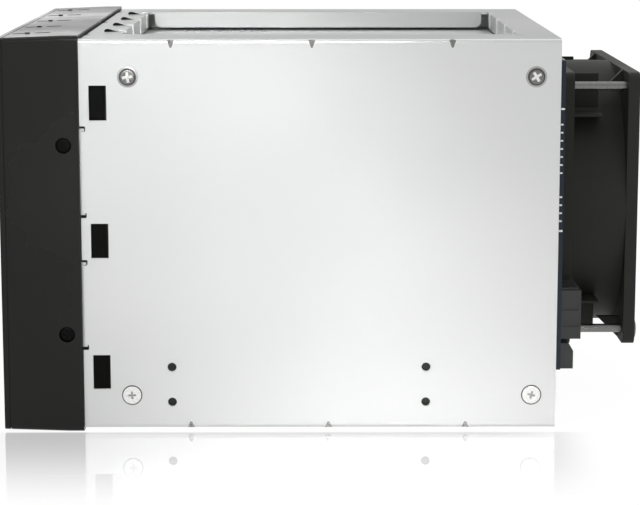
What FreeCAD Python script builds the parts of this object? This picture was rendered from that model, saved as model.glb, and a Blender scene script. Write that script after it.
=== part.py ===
import FreeCAD, Part
import Sketcher
import math
import os

# Hot swap drive cage: five 3.5 inch drives on edge in trays, in the space of three 5.25 inch bays.
# X runs from the bezel to the fan, Y across the bays, Z up. The origin is under the middle of the whole cage.

doc = FreeCAD.newDocument("drive_cage")
sheet = doc.addObject("Spreadsheet::Sheet", "sizes")
Vector = FreeCAD.Vector


class Length:
    """A size with its number and with the formula that gives it from the sheet."""

    def __init__(self, number, formula):
        self.number = number
        self.formula = formula

    def __float__(self):
        return float(self.number)

    def __add__(self, other):
        return Length(float(self) + float(other), f"({formula_of(self)} + {formula_of(other)})")

    def __radd__(self, other):
        return as_length(other) + self

    def __sub__(self, other):
        return Length(float(self) - float(other), f"({formula_of(self)} - {formula_of(other)})")

    def __rsub__(self, other):
        return as_length(other) - self

    def __mul__(self, factor):
        return Length(float(self) * float(factor), f"({formula_of(self)} * {formula_of(factor)})")

    def __rmul__(self, factor):
        return self * factor

    def __truediv__(self, divisor):
        return Length(float(self) / float(divisor), f"({formula_of(self)} / {formula_of(divisor)})")

    def __neg__(self):
        return 0 - self


def as_length(value):
    return value if isinstance(value, Length) else Length(float(value), repr(float(value)))


def formula_of(value):
    return as_length(value).formula


def size(name, number):
    """Writes one driving size to the sheet and returns it."""
    row = len(sheet.getUsedCells()) // 2 + 1
    sheet.set(f"A{row}", name)
    sheet.set(f"B{row}", str(number))
    sheet.setAlias(f"B{row}", name)
    return Length(number, f"sizes.{name}")


# Sheet metal, and the drive that each tray holds
metal = size("metal", 0.8)
bend_radius = size("bend_radius", 1.2)
drive_width = size("drive_width", 101.6)
drive_height = size("drive_height", 26.1)
drive_fit = size("drive_fit", 0.2)

# Trays and bays
bay_count = 5
tray_plate = size("tray_plate", 1.2)
tray_side_gap = size("tray_side_gap", 0.2)
tray_lift = size("tray_lift", 0.4)
rail_height = size("rail_height", 7.25)
rail_floor = size("rail_floor", 1.4)
runner_width = size("runner_width", 2.4)
side_clearance = size("side_clearance", 0.15)
socket_reach = size("socket_reach", 9.0)
tray_rear_gap = size("tray_rear_gap", 1.0)

# Cage
cage_depth = size("cage_depth", 152.8)
deck_drop = size("deck_drop", 6.8)
return_flange = size("return_flange", 15.0)
side_strip = size("side_strip", 18.7)
front_strip = size("front_strip", 12.0)
rear_strip = size("rear_strip", 12.3)
opening_flange = size("opening_flange", 5.8)
opening_corner = size("opening_corner", 2.4)
base_flange = size("base_flange", 14.0)
deck_flange = size("deck_flange", 9.0)
flange_setback = size("flange_setback", 11.0)

# Bezel
bezel_depth = size("bezel_depth", 25.9)
bezel_rise = size("bezel_rise", 1.05)
bezel_side = size("bezel_side", 1.0)
bezel_wall = size("bezel_wall", 2.4)
bezel_side_wall = size("bezel_side_wall", 1.9)
bezel_draft = size("bezel_draft", 0.8)
bezel_flat = size("bezel_flat", 5.0)
bezel_corner = size("bezel_corner", 1.5)
bezel_gap = size("bezel_gap", 0.15)

# Board, fan and what stands between them
board = size("board", 1.6)
board_low = size("board_low", 19.7)
board_drop = size("board_drop", 6.95)
board_inset = size("board_inset", 1.5)
gasket = size("gasket", 3.1)
fan_size = size("fan_size", 92.0)
fan_depth = size("fan_depth", 25.0)
fan_centre = size("fan_centre", 68.1)
fan_hole_edge = size("fan_hole_edge", 4.75)
fan_wall = size("fan_wall", 2.0)
fan_front_flange = size("fan_front_flange", 3.3)
fan_rear_flange = size("fan_rear_flange", 3.9)
fan_corner = size("fan_corner", 3.0)
fan_screw_head = size("fan_screw_head", 0.9)

# Clearances that parts share
fit = size("fit", 0.1)
running_fit = size("running_fit", 0.05)
front_gap = size("front_gap", 0.7)

# What follows from them
bay_pitch = drive_height + tray_plate + 2 * tray_side_gap + metal
cage_half = (bay_count * bay_pitch) / 2 + 2 * metal + side_clearance
tray_height = drive_width + 2 * drive_fit + 2 * rail_height
metal_low = bezel_rise
base_top = metal_low + 2 * metal
tray_low = base_top + tray_lift
tray_high = tray_low + tray_height
deck_low = tray_high + tray_lift
deck_top = deck_low + metal
metal_high = deck_top + deck_drop
bezel_high = metal_high + bezel_rise
board_high = metal_high - board_drop
whole_length = bezel_depth + cage_depth + board + gasket + fan_depth + fan_screw_head
bezel_front = -whole_length / 2
cage_front = bezel_front + bezel_depth
cage_rear = cage_front + cage_depth
board_rear = cage_rear + board
fan_front = board_rear + gasket
fan_hole_spacing = fan_size - 2 * fan_hole_edge
fan_rear = fan_front + fan_depth
side_inner = cage_half - metal
tray_half = (bay_pitch - metal) / 2 - tray_side_gap
partition_lines = [(step + 0.5 - bay_count / 2) * bay_pitch + bay_pitch / 2 for step in range(bay_count - 1)]
bay_centres = [(step + 0.5 - bay_count / 2) * bay_pitch for step in range(bay_count)]

cutters = []
nodes = []


def bind(thing, path, value):
    thing.setExpression(path, formula_of(value))


def new_body(label, shift=None):
    """Starts one moulded, pressed or turned piece, moved across by shift."""
    body = doc.addObject("PartDesign::Body", label)
    body.Label = label
    if shift is not None:
        bind(body, "Placement.Base.y", shift)
    nodes.append(body)
    return body


def copy_of(original, label, shift):
    """The same piece again, moved across by shift."""
    body = doc.addObject("PartDesign::Body", label)
    body.Label = label
    base = doc.addObject("PartDesign::FeatureBase", label + "_base")
    base.BaseFeature = original
    body.Group = [base]
    body.Tip = base
    bind(body, "Placement.Base.y", shift)
    nodes.append(body)
    return body


def polygon(points):
    """A closed outline. A third value rounds a corner between two edges that run along the axes."""

    def draw(sketch, held):
        count = len(points)
        starts = []
        ends = []
        for index, point in enumerate(points):
            x, y = point[0], point[1]
            radius = point[2] if len(point) > 2 else None
            before = points[index - 1]
            after = points[(index + 1) % count]
            if radius is None:
                ends.append((x, y))
                starts.append((x, y))
                continue
            ends.append((x - radius * sign(before[0], x), y - radius * sign(before[1], y)))
            starts.append((x + radius * sign(x, after[0]), y + radius * sign(y, after[1])))
        first = sketch.GeometryCount
        for index in range(count):
            add_line(sketch, starts[index], ends[(index + 1) % count])
        for index, point in enumerate(points):
            line_in = first + (index - 1) % count
            line_out = first + index
            if len(point) > 2:
                add_corner(sketch, held, line_in, line_out, ends[index], starts[index], point)
            else:
                held.append((Sketcher.Constraint("Coincident", line_in, 2, line_out, 1), None))
        for index, point in enumerate(points):
            fix_point(held, first + index, 1, starts[index])
            if len(point) > 2:
                fix_point(held, first + (index - 1) % count, 2, ends[index])

    return draw


def sign(start, end):
    difference = float(end) - float(start)
    return 0 if abs(difference) < 1e-9 else math.copysign(1, difference)


def flat(point):
    return Vector(float(point[0]), float(point[1]), 0)


def add_line(sketch, start, end):
    return sketch.addGeometry(Part.LineSegment(flat(start), flat(end)), False)


def fix_point(held, geometry, end, point):
    """Holds a point at its distances from the sketch's origin."""
    for kind, value in zip(("DistanceX", "DistanceY"), point):
        held.append((Sketcher.Constraint(kind, -1, 1, geometry, end, float(value)), value))


def add_corner(sketch, held, line_in, line_out, arc_from, arc_to, corner):
    """Rounds one corner with an arc that both edges run into."""
    radius = float(corner[2])
    start, end, tip = flat(arc_from), flat(arc_to), flat(corner)
    centre = start + end - tip
    middle = centre + (tip - centre) * (1 / math.sqrt(2))
    arc = sketch.addGeometry(Part.Arc(start, middle, end), False)
    turn = (tip - start).cross(end - tip).z
    near_start, near_end = (1, 2) if turn > 0 else (2, 1)
    held.append((Sketcher.Constraint("Coincident", line_in, 2, arc, near_start), None))
    held.append((Sketcher.Constraint("Coincident", line_out, 1, arc, near_end), None))
    held.append((Sketcher.Constraint("Radius", arc, radius), corner[2]))


def rectangle(x_low, y_low, x_high, y_high, radius=None):
    corners = [(x_low, y_low), (x_high, y_low), (x_high, y_high), (x_low, y_high)]
    if radius is not None:
        corners = [(x, y, radius) for x, y in corners]
    return polygon(corners)


def circle(x, y, radius):
    def draw(sketch, held):
        ring = sketch.addGeometry(Part.Circle(flat((x, y)), Vector(0, 0, 1), float(radius)), False)
        fix_point(held, ring, 3, (x, y))
        held.append((Sketcher.Constraint("Radius", ring, float(radius)), radius))

    return draw


def plane_sketch(body, plane, height, outlines):
    """A sketch parallel to one of the body's own planes, at its height along the axis that is left."""
    sketch = body.newObject("Sketcher::SketchObject", body.Label + "_sketch")
    support = [item for item in body.Origin.OriginFeatures if item.Role == plane + "_Plane"][0]
    sketch.AttachmentSupport = [(support, "")]
    sketch.MapMode = "FlatFace"
    bind(sketch, "AttachmentOffset.Base.z", -height if plane == "XZ" else as_length(height))
    held = []
    for outline in outlines:
        outline(sketch, held)
    sketch.addConstraint([constraint for constraint, value in held])
    for number, (constraint, value) in enumerate(held):
        if isinstance(value, Length):
            bind(sketch, f"Constraints[{number}]", value)
    return sketch


def pad(body, plane, low, high, *outlines):
    """Adds material between two heights over the plane."""
    start = high if plane == "XZ" else low
    sketch = plane_sketch(body, plane, start, outlines)
    feature = body.newObject("PartDesign::Pad", body.Label + "_pad")
    feature.Profile = sketch
    bind(feature, "Length", high - low)
    return feature


def pocket(body, plane, low, high, *outlines):
    """Cuts material away between two heights over the plane."""
    start = low if plane == "XZ" else high
    sketch = plane_sketch(body, plane, start, outlines)
    feature = body.newObject("PartDesign::Pocket", body.Label + "_pocket")
    feature.Profile = sketch
    bind(feature, "Length", high - low)
    cutters.append(feature)
    return feature


def axis_of(body, role):
    return [item for item in body.Origin.OriginFeatures if item.Role == role][0]


def repeat(body, feature, axis, step, count):
    """Repeats a feature along one of the body's own axes."""
    pattern = body.newObject("PartDesign::LinearPattern", body.Label + "_row")
    pattern.Originals = [feature]
    pattern.Direction = (axis_of(body, axis), [""])
    bind(pattern, "Length", step * (count - 1))
    pattern.Occurrences = count
    body.Tip = pattern
    return pattern


def round_edges(body, radius, wanted):
    """Rounds the edges of the body's last feature that wanted picks."""
    doc.recompute()
    base = body.Tip
    picked = [f"Edge{number}" for number, edge in enumerate(base.Shape.Edges, 1) if wanted(edge)]
    feature = body.newObject("PartDesign::Fillet", body.Label + "_rounded")
    feature.Base = (base, picked)
    bind(feature, "Radius", radius)
    return feature


def single(label, solid, place=(0, 0, 0)):
    """One solid drawn about its own origin and set down at place."""
    feature = doc.addObject("Part::Feature", label)
    feature.Label = label
    feature.Shape = solid
    feature.Placement = FreeCAD.Placement(Vector(*[float(value) for value in place]), FreeCAD.Rotation())
    nodes.append(feature)
    return feature


def group(label, solids):
    """Several like solids that share one node."""
    return single(label, Part.makeCompound(solids))


def close(value, target, slack=1e-4):
    return abs(float(value) - float(target)) < slack


# Outer cover: one folded sheet
window_front = size("window_front", 3.05)
window_length = size("window_length", 5.6)
window_height = size("window_height", 11.2)
ear_reach = size("ear_reach", 9.0)
ear_height = size("ear_height", 27.8)
ear_step = size("ear_step", 0.5)
relief = size("relief", 0.9)
top_setback = size("top_setback", 0.7)
top_notch = size("top_notch", 1.9)
top_notch_half = size("top_notch_half", 2.6)
top_notch_edge = size("top_notch_edge", 18.0)
rear_notch = size("rear_notch", 1.3)
tapped_hole = size("tapped_hole", 1.45)
tapped_front = size("tapped_front", 28.5)
tapped_spacing = size("tapped_spacing", 82.2)
tapped_low = size("tapped_low", 9.7)
tapped_rise = size("tapped_rise", 11.6)
cover_screw_front = size("cover_screw_front", 15.5)
cover_screw_rear = size("cover_screw_rear", 7.9)
cover_screw_low = size("cover_screw_low", 12.0)
cover_screw_drop = size("cover_screw_drop", 12.05)
cover_screw_hole = size("cover_screw_hole", 1.7)
bezel_screw_head = size("bezel_screw_head", 2.55)
bezel_screw_reach = size("bezel_screw_reach", 5.1)
bezel_screw_low = size("bezel_screw_low", 32.3)
bezel_screw_high = size("bezel_screw_high", 93.7)
bezel_screw_sink = size("bezel_screw_sink", 1.0)
thread_play = size("thread_play", 0.05)
bezel_thread = size("bezel_thread", 1.2)
ear_centres = [size("lower_ear", 41.8), size("upper_ear", 85.0)]
window_lows = [size("lower_window", 14.1), size("middle_window", 57.2),
               metal_high - size("upper_window_drop", 25.95)]

cover_screw_high = metal_high - cover_screw_drop
opening_front = cage_front + front_strip
opening_rear = cage_rear - rear_strip
opening_half = cage_half - side_strip
cover_screws_x = [cage_front + cover_screw_front, cage_rear - cover_screw_rear]
ear_outer = cage_half + bezel_side - bezel_side_wall - fit
ear_inner = ear_outer - metal
tapped_x = [cage_front + tapped_front, cage_front + tapped_front + tapped_spacing]
tapped_z = [tapped_low, tapped_low + tapped_rise]


def make_cover():
    body = new_body("outer_cover")
    low, high = metal_low, metal_high
    lip = cage_half - return_flange
    pad(body, "YZ", cage_front, cage_rear, polygon([
        (-lip, low), (-cage_half, low), (-cage_half, high), (cage_half, high), (cage_half, low), (lip, low),
        (lip, low + metal), (side_inner, low + metal), (side_inner, high - metal),
        (-side_inner, high - metal), (-side_inner, low + metal), (-lip, low + metal)]))
    round_edges(body, bend_radius, lambda edge: close(edge.Length, cage_depth) and all(
        close(abs(point.Point.y), cage_half) for point in edge.Vertexes))
    round_edges(body, bend_radius - metal, lambda edge: close(edge.Length, cage_depth) and all(
        close(abs(point.Point.y), side_inner) for point in edge.Vertexes))
    pocket(body, "XY", high - 2 * metal, high + metal,
           rectangle(opening_front, -opening_half, opening_rear, opening_half, opening_corner))
    make_opening_flanges(body)
    make_front_ears(body)
    make_top_notches(body)
    holes = [circle(x, z, tapped_hole) for x in tapped_x for z in tapped_z]
    holes += [circle(x, z, cover_screw_hole) for x in cover_screws_x
              for z in (cover_screw_low, cover_screw_high)]
    holes += [circle(cage_front - bezel_screw_reach, z, bezel_thread + thread_play)
              for z in (bezel_screw_low, bezel_screw_high)]
    pocket(body, "XZ", -cage_half - metal, cage_half + metal, *holes)
    windows = [rectangle(cage_front + window_front, z, cage_front + window_front + window_length,
                         z + window_height) for z in window_lows]
    pocket(body, "XZ", -cage_half - metal, cage_half + metal, *windows)
    make_darts(body)
    make_beads(body)
    return body


def make_opening_flanges(body):
    """Turns the four edges of the top opening down."""
    low = metal_high - opening_flange
    high = metal_high - metal / 2
    corner = opening_corner
    long_side = polygon([(opening_front + corner, high), (opening_front + corner, low, corner),
                         (opening_rear - corner, low, corner), (opening_rear - corner, high)])
    for side in (-1, 1):
        outer = side * (opening_half + metal)
        inner = side * opening_half
        pad(body, "XZ", min(outer, inner, key=float), max(outer, inner, key=float), long_side)
    short_side = polygon([(-opening_half + corner, high), (-opening_half + corner, low, corner),
                          (opening_half - corner, low, corner), (opening_half - corner, high)])
    pad(body, "YZ", opening_front - metal, opening_front, short_side)
    pad(body, "YZ", opening_rear, opening_rear + metal, short_side)


def make_front_ears(body):
    """Steps the front edge inwards under the bezel, between small relief notches."""
    ears = [rectangle(cage_front - ear_reach, centre - ear_height / 2, cage_front + ear_step + metal,
                      centre + ear_height / 2) for centre in ear_centres]
    steps = [rectangle(cage_front + ear_step, centre - ear_height / 2, cage_front + ear_step + metal,
                       centre + ear_height / 2) for centre in ear_centres]
    slits = [rectangle(cage_front - ear_step, centre - ear_height / 2, cage_front + ear_step,
                       centre + ear_height / 2) for centre in ear_centres]
    notches = [rectangle(cage_front - relief, centre + end * ear_height / 2 - relief,
                         cage_front + 2 * relief, centre + end * ear_height / 2 + relief, relief / 2)
               for centre in ear_centres for end in (-1, 1)]
    for side in (-1, 1):
        inner, outer = sorted((side * ear_inner, side * ear_outer), key=float)
        pad(body, "XZ", inner, outer, *ears)
        inner, outer = sorted((side * ear_inner, side * (cage_half - metal / 2)), key=float)
        pad(body, "XZ", inner, outer, *steps)
        inner, outer = sorted((side * (side_inner - fit / 2), side * (cage_half + fit)), key=float)
        pocket(body, "XZ", inner, outer, *slits)
        pocket(body, "XZ", inner, outer, *notches)


def make_top_notches(body):
    """Sets the top's front edge back, with three notches, and nicks the rear edge in its middle."""
    low, high = metal_high - 2 * metal, metal_high + metal
    front = cage_front - metal
    half = cage_half - 2 * bend_radius
    aside = cage_half - top_notch_edge
    pocket(body, "XY", low, high, rectangle(front, -half, cage_front + top_setback, half))
    notches = [rectangle(front, side * aside - top_notch_half, cage_front + top_notch,
                         side * aside + top_notch_half, top_setback) for side in (-1, 0, 1)]
    pocket(body, "XY", low, high, *notches)
    pocket(body, "XY", low, high, circle(cage_rear, 0, rear_notch))


dart_half = size("dart_half", 1.0)
dart_height = size("dart_height", 2.6)
dart_share = 0.7


def make_darts(body):
    """Nicks the long bends at three places above and three below."""
    depth = 2 * metal
    half, tall = dart_half, dart_height
    upper = [cage_front + cage_depth * share for share in (0.191, 0.483, 0.774)]
    lower = [cage_front + cage_depth * share for share in (0.226, 0.518, 0.809)]
    darts = [polygon([(x - half, metal_high + metal), (x, metal_high - tall), (x + half, metal_high + metal)])
             for x in upper]
    darts += [polygon([(x - half, metal_low - metal), (x + half, metal_low - metal),
                       (x, metal_low + tall * dart_share)]) for x in lower]
    pocket(body, "XZ", -cage_half - metal, -cage_half + depth, *darts)
    pocket(body, "XZ", cage_half - depth, cage_half + metal, *darts)


bead_width = size("bead_width", 3.2)
bead_front = size("bead_front", 9.6)
lance_front = size("lance_front", 5.2)
lance_length = size("lance_length", 4.2)
lance_half = size("lance_half", 1.3)
seam_width = size("seam_width", 1.2)


def make_beads(body):
    """Beads over the partition lines at the front strip, and the notches and seams of the rear strip."""
    rise = metal * 0.8
    bead = [rectangle(cage_front + bead_front, line - bead_width / 2, opening_front + rise,
                      line + bead_width / 2, bead_width / 4) for line in partition_lines]
    pad(body, "XY", metal_high - metal / 2, metal_high + rise, *bead)
    ridge = [rectangle(line - bead_width / 2, metal_high - opening_flange + metal, line + bead_width / 2,
                       metal_high + rise) for line in partition_lines]
    pad(body, "YZ", opening_front - metal / 2, opening_front + rise, *ridge)
    tip = cage_front + lance_front + lance_length
    start = cage_front + lance_front
    belly = start + lance_half
    lance = [polygon([(start, line - lance_half / 2), (belly, line - lance_half), (tip, line - lance_half / 5),
                      (tip, line + lance_half / 5), (belly, line + lance_half), (start, line + lance_half / 2)])
             for line in partition_lines]
    pocket(body, "XY", metal_high - 2 * metal, metal_high + metal, *lance)
    seams = [rectangle(opening_rear - metal, line - seam_width / 2, opening_rear + 2 * metal,
                       line + seam_width / 2) for line in bay_centres]
    pocket(body, "XY", metal_high - opening_flange + metal, metal_high + metal, *seams)


# Base plate and recessed deck
tab_length = size("tab_length", 10.0)
tab_share = [0.12, 0.5, 0.88]
rear_frame_front = cage_rear - metal
flange_front = cage_front + flange_setback
base_rear_flange = size("base_rear_flange", 18.0)
vent_pitch = size("vent_pitch", 4.2)
vent_width = size("vent_width", 2.2)
vent_length = size("vent_length", 7.0)
vent_front = size("vent_front", 25.5)
vent_offset = size("vent_offset", 6.0)
vent_count = 8
screw_thread = size("screw_thread", 1.5)
partition_front = cage_front + front_gap
partition_rear = rear_frame_front - metal - fit
tab_centres = [partition_front + (partition_rear - partition_front) * share for share in tab_share]


def tab_slots():
    half_long = tab_length / 2 + fit
    half_wide = metal / 2 + fit
    return [rectangle(x - half_long, line - half_wide, x + half_long, line + half_wide)
            for x in tab_centres for line in partition_lines]


def make_base():
    body = new_body("base_plate")
    low = metal_low + metal
    half = side_inner - fit
    rear = rear_frame_front - fit
    pad(body, "XY", low, base_top, rectangle(cage_front + front_gap, -half, rear, half))
    wings = rectangle(flange_front, low, rear, low + base_flange)
    pad(body, "XZ", -half, -half + metal, wings)
    pad(body, "XZ", half - metal, half, wings)
    pad(body, "YZ", rear - metal, rear, rectangle(-half, low, half, low + base_rear_flange))
    round_edges(body, bend_radius / 2, lambda edge: edge.Length > float(cage_depth) / 2 and all(
        close(abs(point.Point.y), half) and close(point.Point.z, low) for point in edge.Vertexes))
    pocket(body, "XY", low - metal, base_top + metal, *tab_slots())
    holes = [circle(x, cover_screw_low, screw_thread) for x in cover_screws_x]
    holes += [circle(x, tapped_low, tapped_hole + 4 * fit) for x in tapped_x]
    pocket(body, "XZ", -cage_half, cage_half, *holes)
    pocket(body, "YZ", rear - 2 * metal, rear + metal,
           *[circle(side * rear_screw_side, rear_screw_low, screw_thread) for side in (-1, 1)])
    return body


def make_deck():
    body = new_body("top_deck")
    half = side_inner - fit
    rear = rear_frame_front - fit
    pad(body, "XY", deck_low, deck_top, rectangle(cage_front + front_gap, -half, rear, half))
    wings = rectangle(flange_front, deck_top - deck_flange, rear, deck_top)
    pad(body, "XZ", -half, -half + metal, wings)
    pad(body, "XZ", half - metal, half, wings)
    upstand = metal_high - metal - fit
    pad(body, "YZ", rear - metal, rear, rectangle(-half + bend_radius, deck_low, half - bend_radius, upstand))
    pocket(body, "XY", deck_low - metal, deck_top + metal, *tab_slots())
    vents = [rectangle(cage_front + vent_front, line - vent_offset - vent_length / 2,
                       cage_front + vent_front + vent_width, line - vent_offset + vent_length / 2,
                       vent_width * 0.45) for line in bay_centres]
    row = pocket(body, "XY", deck_low - metal, deck_top + metal, *vents)
    repeat(body, row, "X_Axis", vent_pitch, vent_count)
    holes = [circle(x, cover_screw_high, screw_thread) for x in cover_screws_x]
    pocket(body, "XZ", -cage_half, cage_half, *holes)
    pocket(body, "YZ", rear - 2 * metal, rear + metal,
           *[circle(side * rear_screw_side, rear_screw_high, screw_thread) for side in (-1, 1)])
    return body


def make_partition(label, line):
    """A plain wall between two bays, held by tabs in the base plate and the deck."""
    body = new_body(label, line)
    low, high = base_top, deck_low
    points = [(partition_front, low)]
    for x in tab_centres:
        points += [(x - tab_length / 2, low), (x - tab_length / 2, low - metal),
                   (x + tab_length / 2, low - metal), (x + tab_length / 2, low)]
    points += [(partition_rear, low), (partition_rear, high)]
    for x in reversed(tab_centres):
        points += [(x + tab_length / 2, high), (x + tab_length / 2, high + metal),
                   (x - tab_length / 2, high + metal), (x - tab_length / 2, high)]
    points += [(partition_front, high)]
    pad(body, "XZ", -metal / 2, metal / 2, polygon(points))
    width = (partition_rear - partition_front) / 9
    for step in (1, 3, 5, 7):
        left = partition_front + width * step
        pocket(body, "XZ", -metal, metal,
               rectangle(left, low + rail_height * 2, left + width, high - rail_height * 2, width / 3))
    return body


# Rear frame, which carries the board and the fan
rear_window_low = size("rear_window_low", 31.0)
rear_window_high = metal_high - size("rear_window_drop", 21.95)
rear_window_side = size("rear_window_side", 3.0)
rear_window_corner = size("rear_window_corner", 2.0)
rear_screw_side = cage_half - size("rear_screw_edge", 7.0)
rear_screw_low = size("rear_screw_low", 15.6)
rear_screw_high = metal_high - size("rear_screw_drop", 4.15)
board_screw_side = cage_half - size("board_screw_edge", 17.0)
board_screw_inset = size("board_screw_inset", 3.6)
fan_thread = size("fan_thread", 1.5)
fan_holes = [(side * fan_hole_spacing / 2, fan_centre + end * fan_hole_spacing / 2)
             for side in (-1, 1) for end in (-1, 1)]
board_screws = [(side * board_screw_side, height) for side in (-1, 1)
                for height in (board_low + board_screw_inset, board_high - board_screw_inset)]
rear_screws = [(side * rear_screw_side, height) for side in (-1, 1)
               for height in (rear_screw_low, rear_screw_high)]
socket_offset = size("socket_offset", 8.6)
socket_thick = size("socket_thick", 5.8)
socket_long = size("socket_long", 39.4)
socket_centre = tray_high - size("socket_drop", 34.65)
slot_width = size("slot_width", 13.0)


def make_rear_frame():
    body = new_body("rear_frame")
    half = side_inner - fit
    pad(body, "YZ", rear_frame_front, cage_rear,
        rectangle(-half, base_top - metal, half, metal_high - metal - fit, bend_radius))
    pocket(body, "YZ", rear_frame_front - metal, cage_rear + metal,
           rectangle(-half + rear_window_side, rear_window_low, half - rear_window_side, rear_window_high,
                     rear_window_corner))
    holes = [circle(y, z, fan_thread) for y, z in fan_holes]
    holes += [circle(y, z, screw_thread) for y, z in board_screws + rear_screws]
    pocket(body, "YZ", rear_frame_front - metal, cage_rear + metal, *holes)
    return body


def make_board():
    body = new_body("backplane_board")
    half = cage_half - board_inset
    pad(body, "YZ", cage_rear, board_rear, rectangle(-half, board_low, half, board_high, 1.0))
    slots = [rectangle(line + fit, rear_window_low, line + slot_width, rear_window_high, slot_width / 4)
             for line in bay_centres]
    pocket(body, "YZ", cage_rear - metal, board_rear + metal, *slots)
    holes = [circle(y, z, fan_thread + fit) for y, z in fan_holes]
    holes += [circle(y, z, screw_thread + fit) for y, z in board_screws]
    pocket(body, "YZ", cage_rear - metal, board_rear + metal, *holes)
    return body


socket_chamfer = size("socket_chamfer", 0.8)
tongue_slot = size("tongue_slot", 2.4)
tongue_depth = size("tongue_depth", 5.5)
tongues = [(size("power_tongue_rise", 5.0), size("power_tongue", 20.4)),
           (size("data_tongue_rise", 28.0), size("data_tongue", 7.9))]


def block_at(x, y, z, deep, wide, tall):
    """A plain block whose lowest corner lies at x, y, z."""
    return Part.makeBox(float(deep), float(wide), float(tall), Vector(float(x), float(y), float(z)))


def make_drive_sockets():
    """The blind-mating sockets on the front of the board, one for each bay."""
    low = socket_centre - socket_long / 2
    front = cage_rear - socket_reach
    solids = []
    for line in bay_centres:
        middle = line - socket_offset
        block = block_at(front, middle - socket_thick / 2, low, socket_reach, socket_thick, socket_long)
        block = block.makeChamfer(float(socket_chamfer), [
            edge for edge in block.Edges
            if close(edge.BoundBox.XMin, front) and close(edge.BoundBox.XMax, front)])
        for rise, length in tongues:
            block = block.cut(block_at(front - metal, middle - tongue_slot / 2, low + rise,
                                       tongue_depth + metal, tongue_slot, length))
        solids.append(block)
    return group("drive_sockets", solids)


edge_inset = size("edge_inset", 0.9)
power_deep = size("power_deep", 6.5)
power_wide = size("power_wide", 10.5)
power_tall = size("power_tall", 16.0)
power_rise = size("power_rise", 10.3)
power_gap = size("power_gap", 1.5)
power_wall = size("power_wall", 1.2)
power_floor = size("power_floor", 2.0)
power_notch = size("power_notch", 1.6)
power_notch_depth = size("power_notch_depth", 0.4)
power_notches = [size("lower_notch", 4.0), size("upper_notch", 9.4)]
power_rib = size("power_rib", 0.7)
power_rib_wide = size("power_rib_wide", 1.4)
power_rib_pitch = size("power_rib_pitch", 3.3)
power_pin = size("power_pin", 1.0)
power_pin_rise = size("power_pin_rise", 5.4)
power_pin_pitch = size("power_pin_pitch", 5.1)


def make_power_sockets():
    """Two upright power sockets on the rear of the board, at its lower edge."""
    low = board_low + power_rise
    near = edge_inset + board_inset - cage_half
    inner_tall = power_tall - 2 * power_wall
    solids = []
    for y in (near, near + power_wide + power_gap):
        block = block_at(board_rear, y, low, power_deep, power_wide, power_tall)
        block = block.cut(block_at(board_rear + power_floor, y + power_wall, low + power_wall,
                                   power_deep, power_wide - 2 * power_wall, inner_tall))
        for rise in power_notches:
            for edge in (y - power_notch_depth, y + power_wide - power_notch_depth):
                block = block.cut(block_at(board_rear + power_notch_depth, edge, low + rise,
                                           power_deep - power_wall, 2 * power_notch_depth, power_notch))
        for rib in range(3):
            block = block.fuse(block_at(board_rear, y + power_wall + power_rib_pitch * rib, low + power_tall,
                                        power_deep - power_rib, power_rib_wide, power_rib))
        for pin in range(2):
            centre = Vector(float(board_rear + power_floor / 2), float(y + power_wide / 2),
                            float(low + power_pin_rise + power_pin_pitch * pin))
            block = block.fuse(Part.makeCylinder(float(power_pin), float(power_deep - power_wall), centre,
                                                 Vector(1, 0, 0)))
        solids.append(block.removeSplitter())
    return group("power_sockets", solids)


data_deep = size("data_deep", 8.5)
data_wide = size("data_wide", 15.0)
data_tall = size("data_tall", 5.8)
data_pitch = size("data_pitch", 14.0)
data_inset = size("data_inset", 4.0)
data_floor = size("data_floor", 2.5)
data_wall = size("data_wall", 1.8)
data_slot = size("data_slot", 2.2)
data_key_wide = size("data_key_wide", 1.6)
data_key_tall = size("data_key_tall", 3.2)


def make_data_sockets():
    """Five data sockets on the rear of the board, on the far side of the fan."""
    y = cage_half - board_inset - data_inset - data_wide
    solids = []
    for number in range(bay_count):
        z = fan_centre + (number - (bay_count - 1) / 2) * data_pitch - data_tall / 2
        block = block_at(board_rear, y, z, data_deep, data_wide, data_tall)
        for wide, tall in ((data_wide - 2 * data_wall, data_slot), (data_key_wide, data_key_tall)):
            block = block.cut(block_at(board_rear + data_floor, y + data_wall, z + data_wall,
                                       data_deep, wide, tall))
        solids.append(block)
    return group("data_sockets", solids)


header_low = size("header_low", 0.4)
header_tall = size("header_tall", 8.4)
header_step = size("header_step", 5.9)
header_deep = size("header_deep", 4.2)
header_top = size("header_top", 2.6)
header_wide = size("header_wide", 7.6)
header_wall = size("header_wall", 1.1)
header_pin = size("header_pin", 0.6)
header_pin_pitch = size("header_pin_pitch", 2.1)


def make_fan_header():
    """The fan's upright header with its slanted latch, under the power socket."""
    body = new_body("fan_header")
    low = board_low + header_low
    near = edge_inset + board_inset - cage_half
    pad(body, "XZ", near, near + header_wide, polygon([
        (board_rear, low), (board_rear + header_deep, low), (board_rear + header_deep, low + header_step),
        (board_rear + header_top, low + header_tall), (board_rear, low + header_tall)]))
    pocket(body, "YZ", board_rear + header_wall, board_rear + header_deep + metal,
           rectangle(near + header_wall, low + header_wall, near + header_wide - header_wall,
                     low + header_step - header_wall))
    middle = near + header_wide / 2
    pad(body, "YZ", board_rear + header_wall - fit, board_rear + header_deep - header_pin, *[
        rectangle(middle + step * header_pin_pitch - header_pin / 2, low + header_step / 2 - header_pin / 2,
                  middle + step * header_pin_pitch + header_pin / 2, low + header_step / 2 + header_pin / 2)
        for step in (-1, 0, 1)])


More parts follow.
